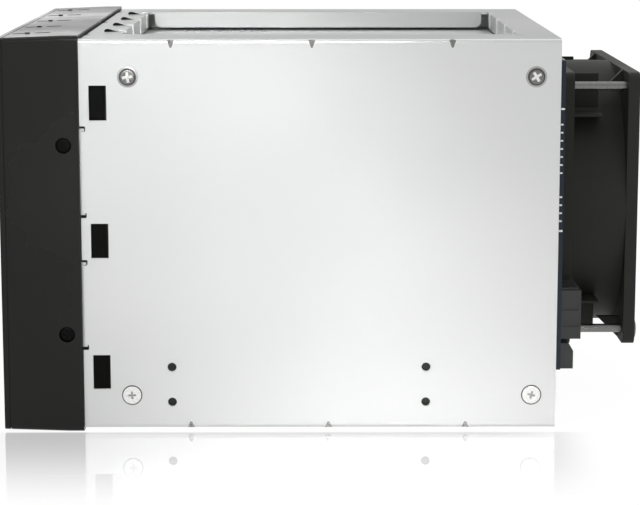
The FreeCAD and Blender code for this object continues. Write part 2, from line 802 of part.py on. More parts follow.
# Screws
def turned_screw(head_radius, head_height, shank_radius, shank_length, place, outward, dome=0.3):
    """A screw whose head's underside lies at place and whose head points outward."""
    rim = head_height * (1 - dome)
    head = Part.makeCylinder(head_radius, rim)
    crown = Part.makeCone(head_radius, head_radius * 0.72, head_height - rim, Vector(0, 0, rim))
    shank = Part.makeCylinder(shank_radius, shank_length + rim / 2, Vector(0, 0, -shank_length))
    solid = head.fuse([crown, shank]).removeSplitter()
    for angle in (0, 90):
        bar = Part.makeBox(head_radius * 1.1, head_radius * 0.26, head_height,
                           Vector(-head_radius * 0.55, -head_radius * 0.13, head_height * 0.45))
        bar.rotate(Vector(0, 0, 0), Vector(0, 0, 1), angle)
        solid = solid.cut(bar)
    return placed(solid, place, outward)


def placed(solid, place, outward):
    turned = solid.copy()
    turned.Placement = FreeCAD.Placement(
        Vector(*[float(value) for value in place]), FreeCAD.Rotation(Vector(0, 0, 1), Vector(*outward)))
    return turned


def flush_screw(head_radius, head_height, shank_radius, shank_length, place, outward):
    """A flat head that ends level with place."""
    head = Part.makeCylinder(head_radius, head_height, Vector(0, 0, 0))
    shank = Part.makeCylinder(shank_radius, shank_length, Vector(0, 0, -shank_length))
    solid = head.fuse(shank).removeSplitter()
    for angle in (0, 90):
        bar = Part.makeBox(head_radius * 0.9, head_radius * 0.2, head_height,
                           Vector(-head_radius * 0.45, -head_radius * 0.1, head_height * 0.4))
        bar.rotate(Vector(0, 0, 0), Vector(0, 0, 1), angle)
        solid = solid.cut(bar)
    return placed(solid, place, outward)


pan_head = size("pan_head", 3.05)
flush_head = size("flush_head", 3.0)
pan_rise = size("pan_rise", 0.9)
flush_rise = size("flush_rise", 0.25)
small_head = size("small_head", 2.4)
board_head_rise = size("board_head_rise", 1.3)
rear_head_rise = size("rear_head_rise", 0.7)
fan_head = size("fan_head", 3.2)


def make_screws():
    pans, flats, bezels = [], [], []
    shank = float(screw_thread - thread_play)
    for side in (-1, 1):
        outward = (0, side, 0)
        for x in cover_screws_x:
            pans.append(turned_screw(float(pan_head), float(pan_rise), shank, float(metal * 2),
                                     (x, side * cage_half, cover_screw_high), outward))
            flats.append(flush_screw(float(flush_head), float(flush_rise), shank, float(metal * 2),
                                     (x, side * cage_half, cover_screw_low), outward))
        for height in (bezel_screw_low, bezel_screw_high):
            seat = side * (cage_half + bezel_side - bezel_screw_sink - bezel_draft / 4)
            reach = float(bezel_side_wall - bezel_screw_sink + metal)
            bezels.append(turned_screw(float(bezel_screw_head - fit), float(bezel_screw_sink) * 0.8,
                                       float(bezel_thread), reach,
                                       (cage_front - bezel_screw_reach, seat, height), outward))
    group("cover_pan_screws", pans)
    group("cover_flush_screws", flats)
    group("bezel_screws", bezels)
    small = float(small_head)
    rearward = (1, 0, 0)
    boards = [turned_screw(small, float(board_head_rise), shank, float(board + metal),
                           (board_rear, y, z), rearward) for y, z in board_screws]
    group("board_screws", boards)
    rears = [turned_screw(small, float(rear_head_rise), shank, float(metal * 2),
                          (cage_rear, y, z), rearward) for y, z in rear_screws]
    group("rear_frame_screws", rears)
    length = float(fan_depth + gasket + board + metal)
    fans = [turned_screw(float(fan_head), float(fan_screw_head), float(fan_thread - thread_play), length,
                         (fan_rear, y, z), rearward) for y, z in fan_holes]
    group("fan_screws", fans)


# Front bezel
bezel_slot_width = size("bezel_slot_width", 2.6)
front_slot = size("front_slot", 3.0)
front_slot_length = size("front_slot_length", 4.2)
rear_slot = size("rear_slot", 10.1)
rear_slot_length = size("rear_slot_length", 5.1)
nub_place = size("nub_place", 7.8)
nub_radius = size("nub_radius", 0.8)
groove_place = size("groove_place", 1.7)
groove_width = size("groove_width", 0.4)
groove_depth = size("groove_depth", 0.3)
arm_root = size("arm_root", 6.0)


def bezel_outline(shrink):
    half = cage_half + bezel_side - shrink / 2
    return rectangle(-half, 0 + shrink * 0.7, half, bezel_high - shrink, bezel_corner)


def make_bezel():
    body = new_body("front_bezel")
    rear = cage_front - bezel_gap
    knee = rear - bezel_flat
    inner_half = cage_half + bezel_side - bezel_side_wall
    pad(body, "YZ", knee, rear, bezel_outline(as_length(0)))
    wide = plane_sketch(body, "YZ", knee, [bezel_outline(as_length(0))])
    narrow = plane_sketch(body, "YZ", bezel_front, [bezel_outline(bezel_draft)])
    taper = body.newObject("PartDesign::AdditiveLoft", "front_bezel_taper")
    taper.Profile = wide
    taper.Sections = [narrow]
    pocket(body, "YZ", bezel_front + groove_place, bezel_front + groove_place + groove_width,
           bezel_outline(-bezel_draft), bezel_outline(bezel_draft + groove_depth))
    pocket(body, "YZ", bezel_front - metal, rear + metal,
           rectangle(-inner_half, bezel_wall, inner_half, bezel_high - bezel_wall, bezel_corner))
    first = bay_centres[0]
    half = bezel_slot_width / 2
    slots = pocket(body, "XY", bezel_high - 2 * bezel_wall, bezel_high + metal, *[
        rectangle(bezel_front + start, first - half, bezel_front + start + length, first + half, half * 0.8)
        for start, length in ((front_slot, front_slot_length), (rear_slot, rear_slot_length))])
    repeat(body, slots, "Y_Axis", bay_pitch, bay_count)
    nub = pad(body, "XY", bezel_high - bezel_wall, bezel_high - bezel_draft * 0.2,
              circle(bezel_front + nub_place, first, nub_radius))
    repeat(body, nub, "Y_Axis", bay_pitch, bay_count)
    make_snap_arms(body, rear)
    heights = (bezel_screw_low, bezel_screw_high)
    x = cage_front - bezel_screw_reach
    for side in (-1, 1):
        seat = side * (cage_half + bezel_side - bezel_screw_sink - bezel_draft / 4)
        edges = sorted((seat, side * (cage_half + 2 * bezel_side)), key=float)
        pocket(body, "XZ", edges[0], edges[1], *[circle(x, z, bezel_screw_head) for z in heights])
        edges = sorted((side * (inner_half - metal), seat + side * fit), key=float)
        pocket(body, "XZ", edges[0], edges[1], *[circle(x, z, screw_thread) for z in heights])
    return body


def make_snap_arms(body, rear):
    """Arms that reach behind the cover's side and fill its windows with their barbs."""
    barb_front = cage_front + window_front + 2 * fit
    barb_rear = cage_front + window_front + window_length - 4 * fit
    arms = [rectangle(rear - arm_root, z + 2 * fit, barb_rear, z + window_height - 3 * fit)
            for z in window_lows]
    barbs = [rectangle(barb_front, z + 3 * fit, barb_rear, z + window_height - 3 * fit) for z in window_lows]
    arm_outer = cage_half + bezel_side - bezel_side_wall
    for side in (-1, 1):
        edges = sorted((side * (arm_outer - metal), side * arm_outer), key=float)
        pad(body, "XZ", edges[0], edges[1], *arms)
        edges = sorted((side * (arm_outer - metal / 2), side * (cage_half - fit)), key=float)
        pad(body, "XZ", edges[0], edges[1], *barbs)


# Fan
duct_outer = fan_size / 2
duct_inner = duct_outer - fan_wall
hub_radius = size("hub_radius", 18.0)
hub_length = size("hub_length", 17.0)
hub_wall = size("hub_wall", 1.5)
blade_gap = size("blade_gap", 0.9)
blade_thick = size("blade_thick", 1.3)
blade_count = 7
seat_thick = size("seat_thick", 2.4)
strut_width = size("strut_width", 4.0)
shaft_radius = size("shaft_radius", 1.5)
bearing_radius = size("bearing_radius", 4.0)
seat_clearance = size("seat_clearance", 1.2)
gusset_foot = size("gusset_foot", 7.0)
seat_front = fan_rear - seat_thick
hub_rear = seat_front - seat_clearance
hub_front = hub_rear - hub_length


def fan_square(half_side):
    return rectangle(-half_side, fan_centre - half_side, half_side, fan_centre + half_side, fan_corner)


def make_fan_frame():
    body = new_body("fan_frame")
    half = fan_size / 2
    pad(body, "YZ", fan_front, fan_front + fan_front_flange, fan_square(half))
    pad(body, "YZ", fan_rear - fan_rear_flange, fan_rear, fan_square(half))
    pad(body, "YZ", fan_front, fan_rear, circle(0, fan_centre, duct_outer))
    pocket(body, "YZ", fan_front - metal, fan_rear + metal, circle(0, fan_centre, duct_inner))
    pad(body, "YZ", seat_front, fan_rear, circle(0, fan_centre, hub_radius))
    reach = duct_inner + fan_wall / 2
    pad(body, "YZ", seat_front, fan_rear,
        rectangle(-reach, fan_centre - strut_width / 2, reach, fan_centre + strut_width / 2))
    pad(body, "YZ", seat_front, fan_rear,
        rectangle(-strut_width / 2, fan_centre - reach, strut_width / 2, fan_centre + reach))
    pad(body, "YZ", hub_front + 2 * hub_wall, fan_rear, circle(0, fan_centre, bearing_radius))
    pocket(body, "YZ", fan_front - metal, fan_rear - metal, circle(0, fan_centre, shaft_radius + running_fit))
    pocket(body, "YZ", fan_front - metal, fan_rear + metal,
           *[circle(y, z, fan_thread + 3 * fit) for y, z in fan_holes])
    rear = fan_rear - fan_rear_flange
    inset = fan_hole_spacing / 2 - bearing_radius * 2
    for side in (-1, 1):
        edges = sorted((side * inset, side * (inset - fan_wall)), key=float)
        pad(body, "XZ", edges[0], edges[1], *[
            polygon([(rear, fan_centre + end * half), (rear, fan_centre + end * (half - gusset_foot)),
                     (rear - gusset_foot, fan_centre + end * (half - gusset_foot))])
            for end in (-1, 1)])
    return body


def blade_section(radius, half_chord, pitch_degrees, camber):
    """A thin cambered section that faces outward, at one distance from the shaft."""
    pitch = math.radians(pitch_degrees)
    along = Vector(math.cos(pitch), math.sin(pitch), 0)
    across = Vector(-math.sin(pitch), math.cos(pitch), 0)
    thick = float(blade_thick) / 2
    tips = [along * -half_chord, along * half_chord]
    upper = Part.Arc(tips[0] + across * 0.2, across * (camber + thick), tips[1] + across * 0.2).toShape()
    lower = Part.Arc(tips[1] - across * 0.2, across * (camber - thick), tips[0] - across * 0.2).toShape()
    ends = [Part.makeLine(tips[1] + across * 0.2, tips[1] - across * 0.2),
            Part.makeLine(tips[0] - across * 0.2, tips[0] + across * 0.2)]
    wire = Part.Wire([upper, ends[0], lower, ends[1]])
    wire.translate(Vector(0, 0, radius))
    return wire


def make_rotor():
    """A cup over the motor with seven swept blades, on a shaft along X."""
    length = float(hub_length)
    cup = Part.makeCylinder(float(hub_radius), length, Vector(0, 0, 0), Vector(1, 0, 0))
    cup = cup.makeChamfer(1.2, [edge for edge in cup.Edges if close(edge.BoundBox.XMax, 0)])
    hollow = Part.makeCylinder(float(hub_radius - hub_wall), length, Vector(float(hub_wall), 0, 0),
                               Vector(1, 0, 0))
    cup = cup.cut(hollow)
    tip = float(duct_inner - blade_gap)
    root = float(hub_radius - hub_wall / 2)
    sections = [blade_section(root - 0.5, 8.2, 42, 1.6), blade_section((root + tip) / 2, 9.6, 33, 1.9),
                blade_section(tip + 1.5, 11.0, 25, 2.0)]
    blade = Part.makeLoft(sections, True)
    blade.translate(Vector(length / 2 - 0.5, 0, 0))
    ring = Part.makeCylinder(tip, length, Vector(0, 0, 0), Vector(1, 0, 0))
    ring = ring.cut(Part.makeCylinder(root, length, Vector(0, 0, 0), Vector(1, 0, 0)))
    blade = blade.common(ring)
    solid = cup
    for number in range(blade_count):
        copy = blade.copy()
        copy.rotate(Vector(0, 0, 0), Vector(1, 0, 0), number * 360 / blade_count)
        solid = solid.fuse(copy)
    boss = Part.makeCylinder(3.0, 1.2, Vector(float(hub_wall) - 0.4, 0, 0), Vector(1, 0, 0))
    solid = solid.fuse(boss).removeSplitter()
    solid = solid.cut(Part.makeCylinder(float(shaft_radius), length, Vector(float(hub_wall), 0, 0),
                                        Vector(1, 0, 0)))
    return single("fan_rotor", solid, (hub_front, 0, fan_centre))


stator_thick = size("stator_thick", 9.0)
stator_gap = size("stator_gap", 1.0)
pole_gap = size("pole_gap", 3.0)


def make_shaft():
    body = new_body("fan_shaft")
    pad(body, "YZ", hub_front + hub_wall, fan_rear - metal - 2 * fit, circle(0, fan_centre, shaft_radius))


def make_stator():
    """The four wound poles on the bearing tube, inside the rotor's cup."""
    body = new_body("fan_stator")
    outer = hub_radius - hub_wall - stator_gap
    front = seat_front - stator_thick
    pad(body, "YZ", front, seat_front, circle(0, fan_centre, outer),
        circle(0, fan_centre, bearing_radius + running_fit))
    near, far, half = bearing_radius + pole_gap, hub_radius, pole_gap / 2
    slant = math.sqrt(0.5)
    gaps = []
    for across, up in ((1, 1), (-1, 1), (-1, -1), (1, -1)):
        corners = [(near, -half), (far, -half), (far, half), (near, half)]
        gaps.append(polygon([((along * across - aside * up) * slant,
                              fan_centre + (along * up + aside * across) * slant)
                             for along, aside in corners]))
    pocket(body, "YZ", front - metal, seat_front + metal, *gaps)


def make_gasket():
    body = new_body("fan_gasket")
    pad(body, "YZ", board_rear, fan_front, fan_square(fan_size / 2))
    pocket(body, "YZ", board_rear - metal, fan_front + metal, circle(0, fan_centre, duct_inner))
    pocket(body, "YZ", board_rear - metal, fan_front + metal,
           *[circle(y, z, fan_thread + 3 * fit) for y, z in fan_holes])
    return body


# Trays
face_set = size("face_set", 1.0)
front_depth = size("front_depth", 19.5)
slab = size("slab", 9.0)
shell_wall = size("shell_wall", 1.4)
front_margin = size("front_margin", 0.5)
lever_width = size("lever_width", 15.0)
lever_play = size("lever_play", 0.5)
lever_low = size("lever_low", 9.2)
lever_button_gap = size("lever_button_gap", 5.5)
lever_thick = size("lever_thick", 4.2)
lever_boss = size("lever_boss", 2.8)
lever_sink = size("lever_sink", 0.4)
recess_depth = size("recess_depth", 6.6)
pin_radius = size("pin_radius", 1.0)
pin_seat = size("pin_seat", 3.0)
button_drop = size("button_drop", 16.05)
button_height = size("button_height", 10.0)
button_half = size("button_half", 4.6)
button_play = size("button_play", 0.3)
button_collar = size("button_collar", 1.5)
button_rib = size("button_rib", 2.0)
pipe_radius = size("pipe_radius", 1.3)
pipe_side = size("pipe_side", 8.4)
pipe_drop = size("pipe_drop", 3.15)

face = bezel_front + face_set
front_rear = face + front_depth
front_low = bezel_wall + front_margin
front_high = bezel_high - bezel_wall - front_margin
front_half = (bay_pitch - front_gap) / 2
button_low = tray_high - button_drop
lever_high = button_low - lever_button_gap
pipe_height = tray_high - pipe_drop
pivot_x = face + lever_sink + lever_boss
pivot_z = lever_low + lever_boss
tray_rear = cage_rear - socket_reach - tray_rear_gap
slot_pitch = size("slot_pitch", 7.2)
slot_height = size("slot_height", 3.4)
vent_rows = 9


def make_tray_front(label, line):
    """The moulded face of a tray, hollow from behind, with a recess for the lever."""
    body = new_body(label, line)
    pad(body, "YZ", face, front_rear, rectangle(-front_half, front_low, front_half, front_high, 1.2))
    pocket(body, "YZ", face + slab, front_rear + metal,
           rectangle(-front_half + shell_wall, front_low + shell_wall, front_half - shell_wall,
                     front_high - shell_wall))
    half = lever_width / 2 + lever_play
    pocket(body, "YZ", face - metal, face + recess_depth,
           rectangle(-half, lever_low - lever_play, half, lever_high + lever_play * 3))
    vents = pocket(body, "YZ", face + recess_depth - metal, face + slab + metal, rectangle(
        -half + shell_wall, pivot_z + 2 * lever_boss, half - shell_wall,
        pivot_z + 2 * lever_boss + slot_height, slot_height * 0.45))
    repeat(body, vents, "Z_Axis", slot_pitch, vent_rows)
    side_vents = pocket(body, "YZ", face - metal, face + slab + metal, *[
        rectangle(min(side * (half + 1.2), side * (front_half - 1.6), key=float), pivot_z + lever_boss,
                  max(side * (half + 1.2), side * (front_half - 1.6), key=float),
                  pivot_z + lever_boss + slot_height, slot_height * 0.3) for side in (-1, 1)])
    repeat(body, side_vents, "Z_Axis", slot_pitch, vent_rows + 1)
    pocket(body, "YZ", face - metal, face + slab + metal,
           rectangle(-button_half - button_play, button_low - button_play, button_half + button_play,
                     button_low + button_height + button_play, 0.8),
           *[circle(side * pipe_side, pipe_height, pipe_radius + running_fit) for side in (-1, 1)])
    pocket(body, "XZ", -half - pin_seat, half + pin_seat, circle(pivot_x, pivot_z, pin_radius + running_fit))
    shelf = front_rear - shell_wall
    pad(body, "YZ", shelf, front_rear,
        rectangle(-front_half + shell_wall / 2, button_low - 2, front_half - shell_wall / 2,
                  button_low + button_height - 1))
    return body


def make_lever(label, line):
    """The long handle on the tray's face, with a ladder of openings and a finger lip."""
    body = new_body(label, line)
    front, rear = face + lever_sink, face + lever_sink + lever_thick
    half = lever_width / 2
    rounding = lever_thick * 0.3
    pad(body, "XZ", -half, half, polygon([
        (front, pivot_z), (front, lever_high, rounding), (rear, lever_high, rounding), (rear, pivot_z)]))
    pad(body, "XZ", -half, half, circle(pivot_x, pivot_z, lever_boss))
    pocket(body, "XZ", -half - metal, half + metal, circle(pivot_x, pivot_z, pin_radius + running_fit))
    ladder = pocket(body, "YZ", front - metal, rear + metal, rectangle(
        -half + 2 * shell_wall, pivot_z + 2 * lever_boss, half - 2 * shell_wall,
        pivot_z + 2 * lever_boss + slot_height, slot_height * 0.45))
    repeat(body, ladder, "Z_Axis", slot_pitch, vent_rows)
    pocket(body, "YZ", front - metal, front + lever_thick * 0.6,
           rectangle(-half * 0.6, lever_high - lever_boss * 2.4, half * 0.6, lever_high - lever_boss, 1.2))
    return body


def make_button(label, line):
    """The release button: its face, its stem and the collar that keeps it in."""
    body = new_body(label, line)
    low, high = button_low, button_low + button_height
    collar = face + slab + button_play
    pad(body, "YZ", face + lever_sink, collar + button_collar,
        rectangle(-button_half, low, button_half, high, 0.6))
    pad(body, "YZ", collar, collar + button_collar,
        rectangle(-button_half - 1, low - 1, button_half + 1, high + 1))
    groove = pocket(body, "YZ", face, face + 2 * lever_sink,
                    rectangle(-button_half * 0.7, low + 1.6, button_half * 0.7, low + 2.6))
    repeat(body, groove, "Z_Axis", button_rib, 4)
    return body


spring_leaf = size("spring_leaf", 0.4)
spring_width = size("spring_width", 5.0)
spring_height = size("spring_height", 6.4)
pin_end_gap = size("pin_end_gap", 0.2)
pipe_bar = size("pipe_bar", 3.0)


def make_button_spring(label, line):
    """A bent leaf between the button and the shelf behind it."""
    body = new_body(label, line)
    start = face + slab + button_play + button_collar
    end = front_rear - shell_wall
    middle = button_low + button_height / 2
    foot = spring_height / 2 - 2.4 * spring_leaf
    pad(body, "XZ", -spring_width / 2, spring_width / 2, polygon([
        (start, middle), (end, middle - spring_height / 2), (end, middle - foot),
        (start + 2.2 * spring_leaf, middle), (end, middle + foot), (end, middle + spring_height / 2)]))
    return body


def make_lever_pin(label, line):
    body = new_body(label, line)
    half = lever_width / 2 + lever_play + pin_seat - pin_end_gap
    pad(body, "XZ", -half, half, circle(pivot_x, pivot_z, pin_radius))
    return body


def make_light_pipe(label, line):
    """Two clear rods along the upper rail, joined by a bar at their rear end."""
    body = new_body(label, line)
    pad(body, "YZ", face + lever_sink, tray_rear, circle(-pipe_side, pipe_height, pipe_radius),
        circle(pipe_side, pipe_height, pipe_radius))
    slim = pipe_radius - fit
    pad(body, "YZ", tray_rear - pipe_bar, tray_rear,
        rectangle(-pipe_side, pipe_height - slim, pipe_side, pipe_height + slim))
    return body


drive_hole = size("drive_hole", 1.9)
drive_hole_rise = size("drive_hole_rise", 95.25)
drive_hole_run = size("drive_hole_run", 44.45)
drive_hole_rear = size("drive_hole_rear", 41.28)
tray_middle = tray_low + tray_height / 2
drive_holes_x = [tray_rear - drive_hole_rear, tray_rear - drive_hole_rear - drive_hole_run]
drive_holes_z = [tray_middle - drive_hole_rise / 2, tray_middle + drive_hole_rise / 2]
tongue_reach = size("tongue_reach", 7.0)
tongue_half = size("tongue_half", 5.0)


def make_tray_frame(label, line):
    """The part of the tray that carries the drive: a side plate between two channel-shaped rails."""
    body = new_body(label, line)
    low, high, half = tray_low, tray_high, tray_half
    inner = -half + tray_plate
    drive_low, drive_high = low + rail_height, high - rail_height
    pad(body, "YZ", front_rear, tray_rear, polygon([
        (-half, low), (-half + runner_width, low), (-half + runner_width, drive_low - rail_floor),
        (half - runner_width, drive_low - rail_floor), (half - runner_width, low), (half, low),
        (half, drive_low), (inner, drive_low), (inner, drive_high), (half, drive_high), (half, high),
        (half - runner_width, high), (half - runner_width, drive_high + rail_floor),
        (-half + runner_width, drive_high + rail_floor), (-half + runner_width, high), (-half, high)]))
    tongue = -front_half + shell_wall + fit
    heights = (drive_low + 2 * rail_height, drive_high - 3 * rail_height)
    pad(body, "XZ", tongue, tongue + tray_plate, *[
        rectangle(front_rear - tongue_reach, z - tongue_half, front_rear + tray_plate * 0.8, z + tongue_half)
        for z in heights])
    pad(body, "XZ", -half, tongue + tray_plate, *[
        rectangle(front_rear, z - tongue_half, front_rear + tray_plate * 0.8, z + tongue_half)
        for z in heights])
    run = (tray_rear - front_rear) / 9
    windows = [rectangle(front_rear + run * step, tray_middle - drive_width / 3,
                         front_rear + run * (step + 1), tray_middle + drive_width / 3, run / 3)
               for step in (1, 3, 5, 7)]
    pocket(body, "XZ", -half - metal, inner + tray_plate, *windows)
    pocket(body, "XZ", -half - metal, inner + tray_plate,
           *[circle(x, z, drive_hole) for x in drive_holes_x for z in drive_holes_z])
    return body


def make_trays():
    """The first tray's pieces are drawn, and the other trays repeat them."""
    drawn = {"frame": make_tray_frame, "front": make_tray_front, "lever": make_lever, "button": make_button,
             "lever_pin": make_lever_pin, "button_spring": make_button_spring, "light_pipe": make_light_pipe}
    for part, make in drawn.items():
        original = make(f"tray_1_{part}", bay_centres[0])
        for number, line in enumerate(bay_centres[1:], 2):
            copy_of(original, f"tray_{number}_{part}", line)


def build():
    make_cover()
    make_base()
    make_deck()
    first = make_partition("partition_1", partition_lines[0])
    for number, line in enumerate(partition_lines[1:], 2):
        copy_of(first, f"partition_{number}", line)
    make_bezel()
    make_rear_frame()
    make_board()
    make_drive_sockets()
    make_power_sockets()
    make_data_sockets()
    make_fan_header()
    make_gasket()
    make_fan_frame()
    make_rotor()
    make_shaft()
    make_stator()
    make_screws()
    make_trays()


def check_and_export():
    doc.recompute()
    for item in doc.Objects:
        if "Invalid" in item.State or "Error" in item.State:
            raise RuntimeError(f"{item.Label} failed: {item.State}")
    for cutter in cutters:
        before = cutter.BaseFeature.Shape.Volume
        if before - cutter.Shape.Volume < 1e-6:
            raise RuntimeError(f"{cutter.Label} cuts nothing")
    os.makedirs("parts", exist_ok=True)
    for node in nodes:
        shape = node.Shape
        if shape.isNull() or not shape.isValid() or not shape.Solids:
            raise RuntimeError(f"{node.Label} has no valid shape")
        shape.exportStep(f"parts/{node.Label}.step")
        print(node.Label, len(shape.Solids), round(shape.Volume, 1))


build()
check_and_export()
print("nodes", len(nodes))
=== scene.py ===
# %% [markdown]
# # Dressing a drive cage
# The object takes the place of three wide bays in a computer case. Behind a black moulded bezel stand five
# trays for drives on edge, and a board with sockets and a square fan close the rear.
# The metal and the mouldings come ready made from the CAD file, so this lesson gives every one of them a
# finish, adds the small things that CAD leaves out, and lights the whole as in a product photograph.

# %% Load the assembly
import math

import bmesh
import bpy
from mathutils import Matrix, Vector


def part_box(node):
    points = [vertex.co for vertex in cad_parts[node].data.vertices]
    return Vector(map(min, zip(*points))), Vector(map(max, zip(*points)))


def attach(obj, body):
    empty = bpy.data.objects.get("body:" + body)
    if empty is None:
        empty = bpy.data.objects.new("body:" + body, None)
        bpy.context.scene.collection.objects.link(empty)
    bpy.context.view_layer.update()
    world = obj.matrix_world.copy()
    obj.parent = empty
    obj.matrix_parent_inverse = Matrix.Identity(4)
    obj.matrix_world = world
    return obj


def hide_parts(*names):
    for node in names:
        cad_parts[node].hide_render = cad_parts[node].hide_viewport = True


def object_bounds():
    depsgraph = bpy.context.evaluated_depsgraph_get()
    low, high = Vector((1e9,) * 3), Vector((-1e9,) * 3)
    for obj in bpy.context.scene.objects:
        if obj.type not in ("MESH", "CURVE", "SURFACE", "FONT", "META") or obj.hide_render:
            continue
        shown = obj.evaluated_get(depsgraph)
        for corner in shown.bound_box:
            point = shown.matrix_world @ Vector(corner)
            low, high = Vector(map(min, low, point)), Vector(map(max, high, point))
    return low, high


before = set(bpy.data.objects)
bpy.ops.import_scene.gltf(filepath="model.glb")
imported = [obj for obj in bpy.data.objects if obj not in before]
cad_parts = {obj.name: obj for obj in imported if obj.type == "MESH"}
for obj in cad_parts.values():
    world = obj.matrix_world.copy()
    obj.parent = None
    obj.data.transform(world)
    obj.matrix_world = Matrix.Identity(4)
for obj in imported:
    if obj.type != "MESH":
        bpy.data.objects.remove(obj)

MM = 0.001
cad_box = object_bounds()
print("pieces from the CAD file:", len(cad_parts))
print("size in millimetres:", [round(length / MM, 1) for length in cad_box[1] - cad_box[0]])

# %% [markdown]
# ## Camera
# The picture was taken from the side with a long lens, a little above the middle, so that a sliver of the
# top shows. A level camera with a large shift would keep all verticals upright, but a small tilt with a
# small shift keeps the object in the frame also when the same camera goes round it.

# %% Place the camera
LENS = 110.05
CAMERA_PLACE = Vector((-4.95, -689.69, 176.70)) * MM
LOOK_DOWN, LOOK_RIGHT = 8.931, 0.24
lens_data = bpy.data.cameras.new("side_camera")
lens_data.sensor_width = 36
lens_data.lens = LENS
lens_data.shift_y = -0.1
lens_data.clip_start = 10 * MM
side_camera = bpy.data.objects.new("side_camera", lens_data)
side_camera.location = CAMERA_PLACE
side_camera.rotation_euler = (math.radians(90 - LOOK_DOWN), 0, math.radians(-LOOK_RIGHT))
bpy.context.collection.objects.link(side_camera)
bpy.context.scene.camera = side_camera
bpy.context.scene.view_settings.view_transform = "Standard"
print("camera", [round(value, 3) for value in side_camera.location])

# %% [markdown]
# ## Finishes
# A finish is a small network of nodes. The first helpers start the network with the shader's own values and
# add nodes to it. The next ones make the patterns that real surfaces have: a grain in the relief, and
# patches where tone and gloss differ a little. All patterns read the object's own coordinates, so they stay
# on the piece when a tray moves.

# %% Start a finish
def new_finish(name, colour, roughness, metallic=0.0, **others):
    """Makes a material and returns it with its shader; others are further values of that shader."""
    finish = bpy.data.materials.new(name)
    finish.use_nodes = True
    shader = finish.node_tree.nodes["Principled BSDF"]
    values = {"Base Color": (*colour, 1), "Roughness": roughness, "Metallic": metallic, **others}
    for socket, value in values.items():
        shader.inputs[socket].default_value = value
    return finish, shader


def add_node(owner, kind, **values):
    """Adds one node to a material or the world and sets its inputs and options by name."""
    node = owner.node_tree.nodes.new("ShaderNode" + kind)
    for name, value in values.items():
        if name in node.inputs:
            node.inputs[name].default_value = value
        else:
            setattr(node, name, value)
    return node


def join(owner, start, end):
    """Links the output of one node to the input of another."""
    owner.node_tree.links.new(start, end)


def grey(value):
    return (value, value, value)


print("finish helpers ready")

# %% Patterns on the object's own coordinates
def own_place(finish, stretch=(1, 1, 1)):
    """Object coordinates in metres, stretched for patterns that run along one direction."""
    coordinates = add_node(finish, "TexCoord")
    mapping = add_node(finish, "Mapping", Scale=stretch)
    join(finish, coordinates.outputs["Object"], mapping.inputs["Vector"])
    return mapping.outputs["Vector"]


def noise(finish, place, scale, detail=3.0, roughness=0.5):
    """Soft blotches; scale says about how many fit in a metre."""
    pattern = add_node(finish, "TexNoise", Scale=scale, Detail=detail, Roughness=roughness)
    join(finish, place, pattern.inputs["Vector"])
    return pattern.outputs["Fac"]


def between(owner, factor, low, high, start=0.3, end=0.7):
    """Turns a pattern into values that go softly from low to high."""
    span = add_node(owner, "MapRange", interpolation_type="SMOOTHSTEP",
                    **{"From Min": start, "From Max": end, "To Min": low, "To Max": high})
    join(owner, factor, span.inputs["Value"])
    return span.outputs["Result"]


def two_tones(finish, factor, first, second, start=0.35, end=0.65):
    """Blends two colours along a pattern."""
    ramp = add_node(finish, "ValToRGB")
    ramp.color_ramp.interpolation = "EASE"
    for element, position, colour in zip(ramp.color_ramp.elements, (start, end), (first, second)):
        element.position = position
        element.color = (*colour, 1)
    join(finish, factor, ramp.inputs["Fac"])
    return ramp.outputs["Color"]


def relief(finish, shader, height, strength, depth):
    """Gives the surface a relief that is depth metres deep."""
    bump = add_node(finish, "Bump", Strength=strength, Distance=depth)
    join(finish, height, bump.inputs["Height"])
    join(finish, bump.outputs["Normal"], shader.inputs["Normal"])
    return bump


print("pattern helpers ready")

# %% [markdown]
# ## Plated sheet
# The cage is folded from sheet steel with a smooth zinc plating: pale grey, half glossy, with a hardly
# visible rolling grain along the sheet. A painted white would look like plastic, so the shader is mostly
# metal, with a roughness that changes slowly over the sheet and finely along the grain. The grey specular
# tint keeps the top from turning white where it is seen almost edge-on.

# %% Plated sheet
METAL_SHARE = 0.62
GRAIN_SHARE = 0.35
GRAIN_STRETCH = (0.12, 1, 1)


def make_sheet_finish(name, first, second, roughness, edge_tint):
    """Zinc plating between two tones, with a tint where it is seen edge-on."""
    finish, shader = new_finish(name, first, roughness, METAL_SHARE,
                                **{"Specular Tint": (*grey(edge_tint), 1)})
    clouds = noise(finish, own_place(finish), scale=9, detail=2)
    grain = noise(finish, own_place(finish, GRAIN_STRETCH), scale=260, detail=2)
    join(finish, two_tones(finish, clouds, first, second), shader.inputs["Base Color"])
    total = add_node(finish, "Math", operation="MULTIPLY_ADD")
    total.inputs[1].default_value = GRAIN_SHARE
    join(finish, grain, total.inputs[0])
    join(finish, clouds, total.inputs[2])
    join(finish, between(finish, total.outputs[0], roughness - 0.04, roughness + 0.05, start=0.45, end=0.9),
         shader.inputs["Roughness"])
    relief(finish, shader, grain, strength=0.12, depth=0.02 * MM)
    return finish


plated_sheet = make_sheet_finish("plated_sheet", (0.72, 0.73, 0.725), (0.76, 0.765, 0.76),
                                 roughness=0.32, edge_tint=0.45)
inner_sheet = make_sheet_finish("inner_sheet", (0.72, 0.73, 0.725), (0.78, 0.79, 0.785),
                                roughness=0.38, edge_tint=1.0)
print("sheets", plated_sheet.name, inner_sheet.name)

# %% [markdown]
# ## Black mouldings
# Bezel, trays, handles and fan are all black plastic, but no two look alike. The bezel is smooth with a fine
# grain, the trays are duller, the handles come from a polished mould and the fan from a rough one. One
# recipe keeps them related: a near-black colour with faint dust, a grain in the relief, and a gloss that
# varies.

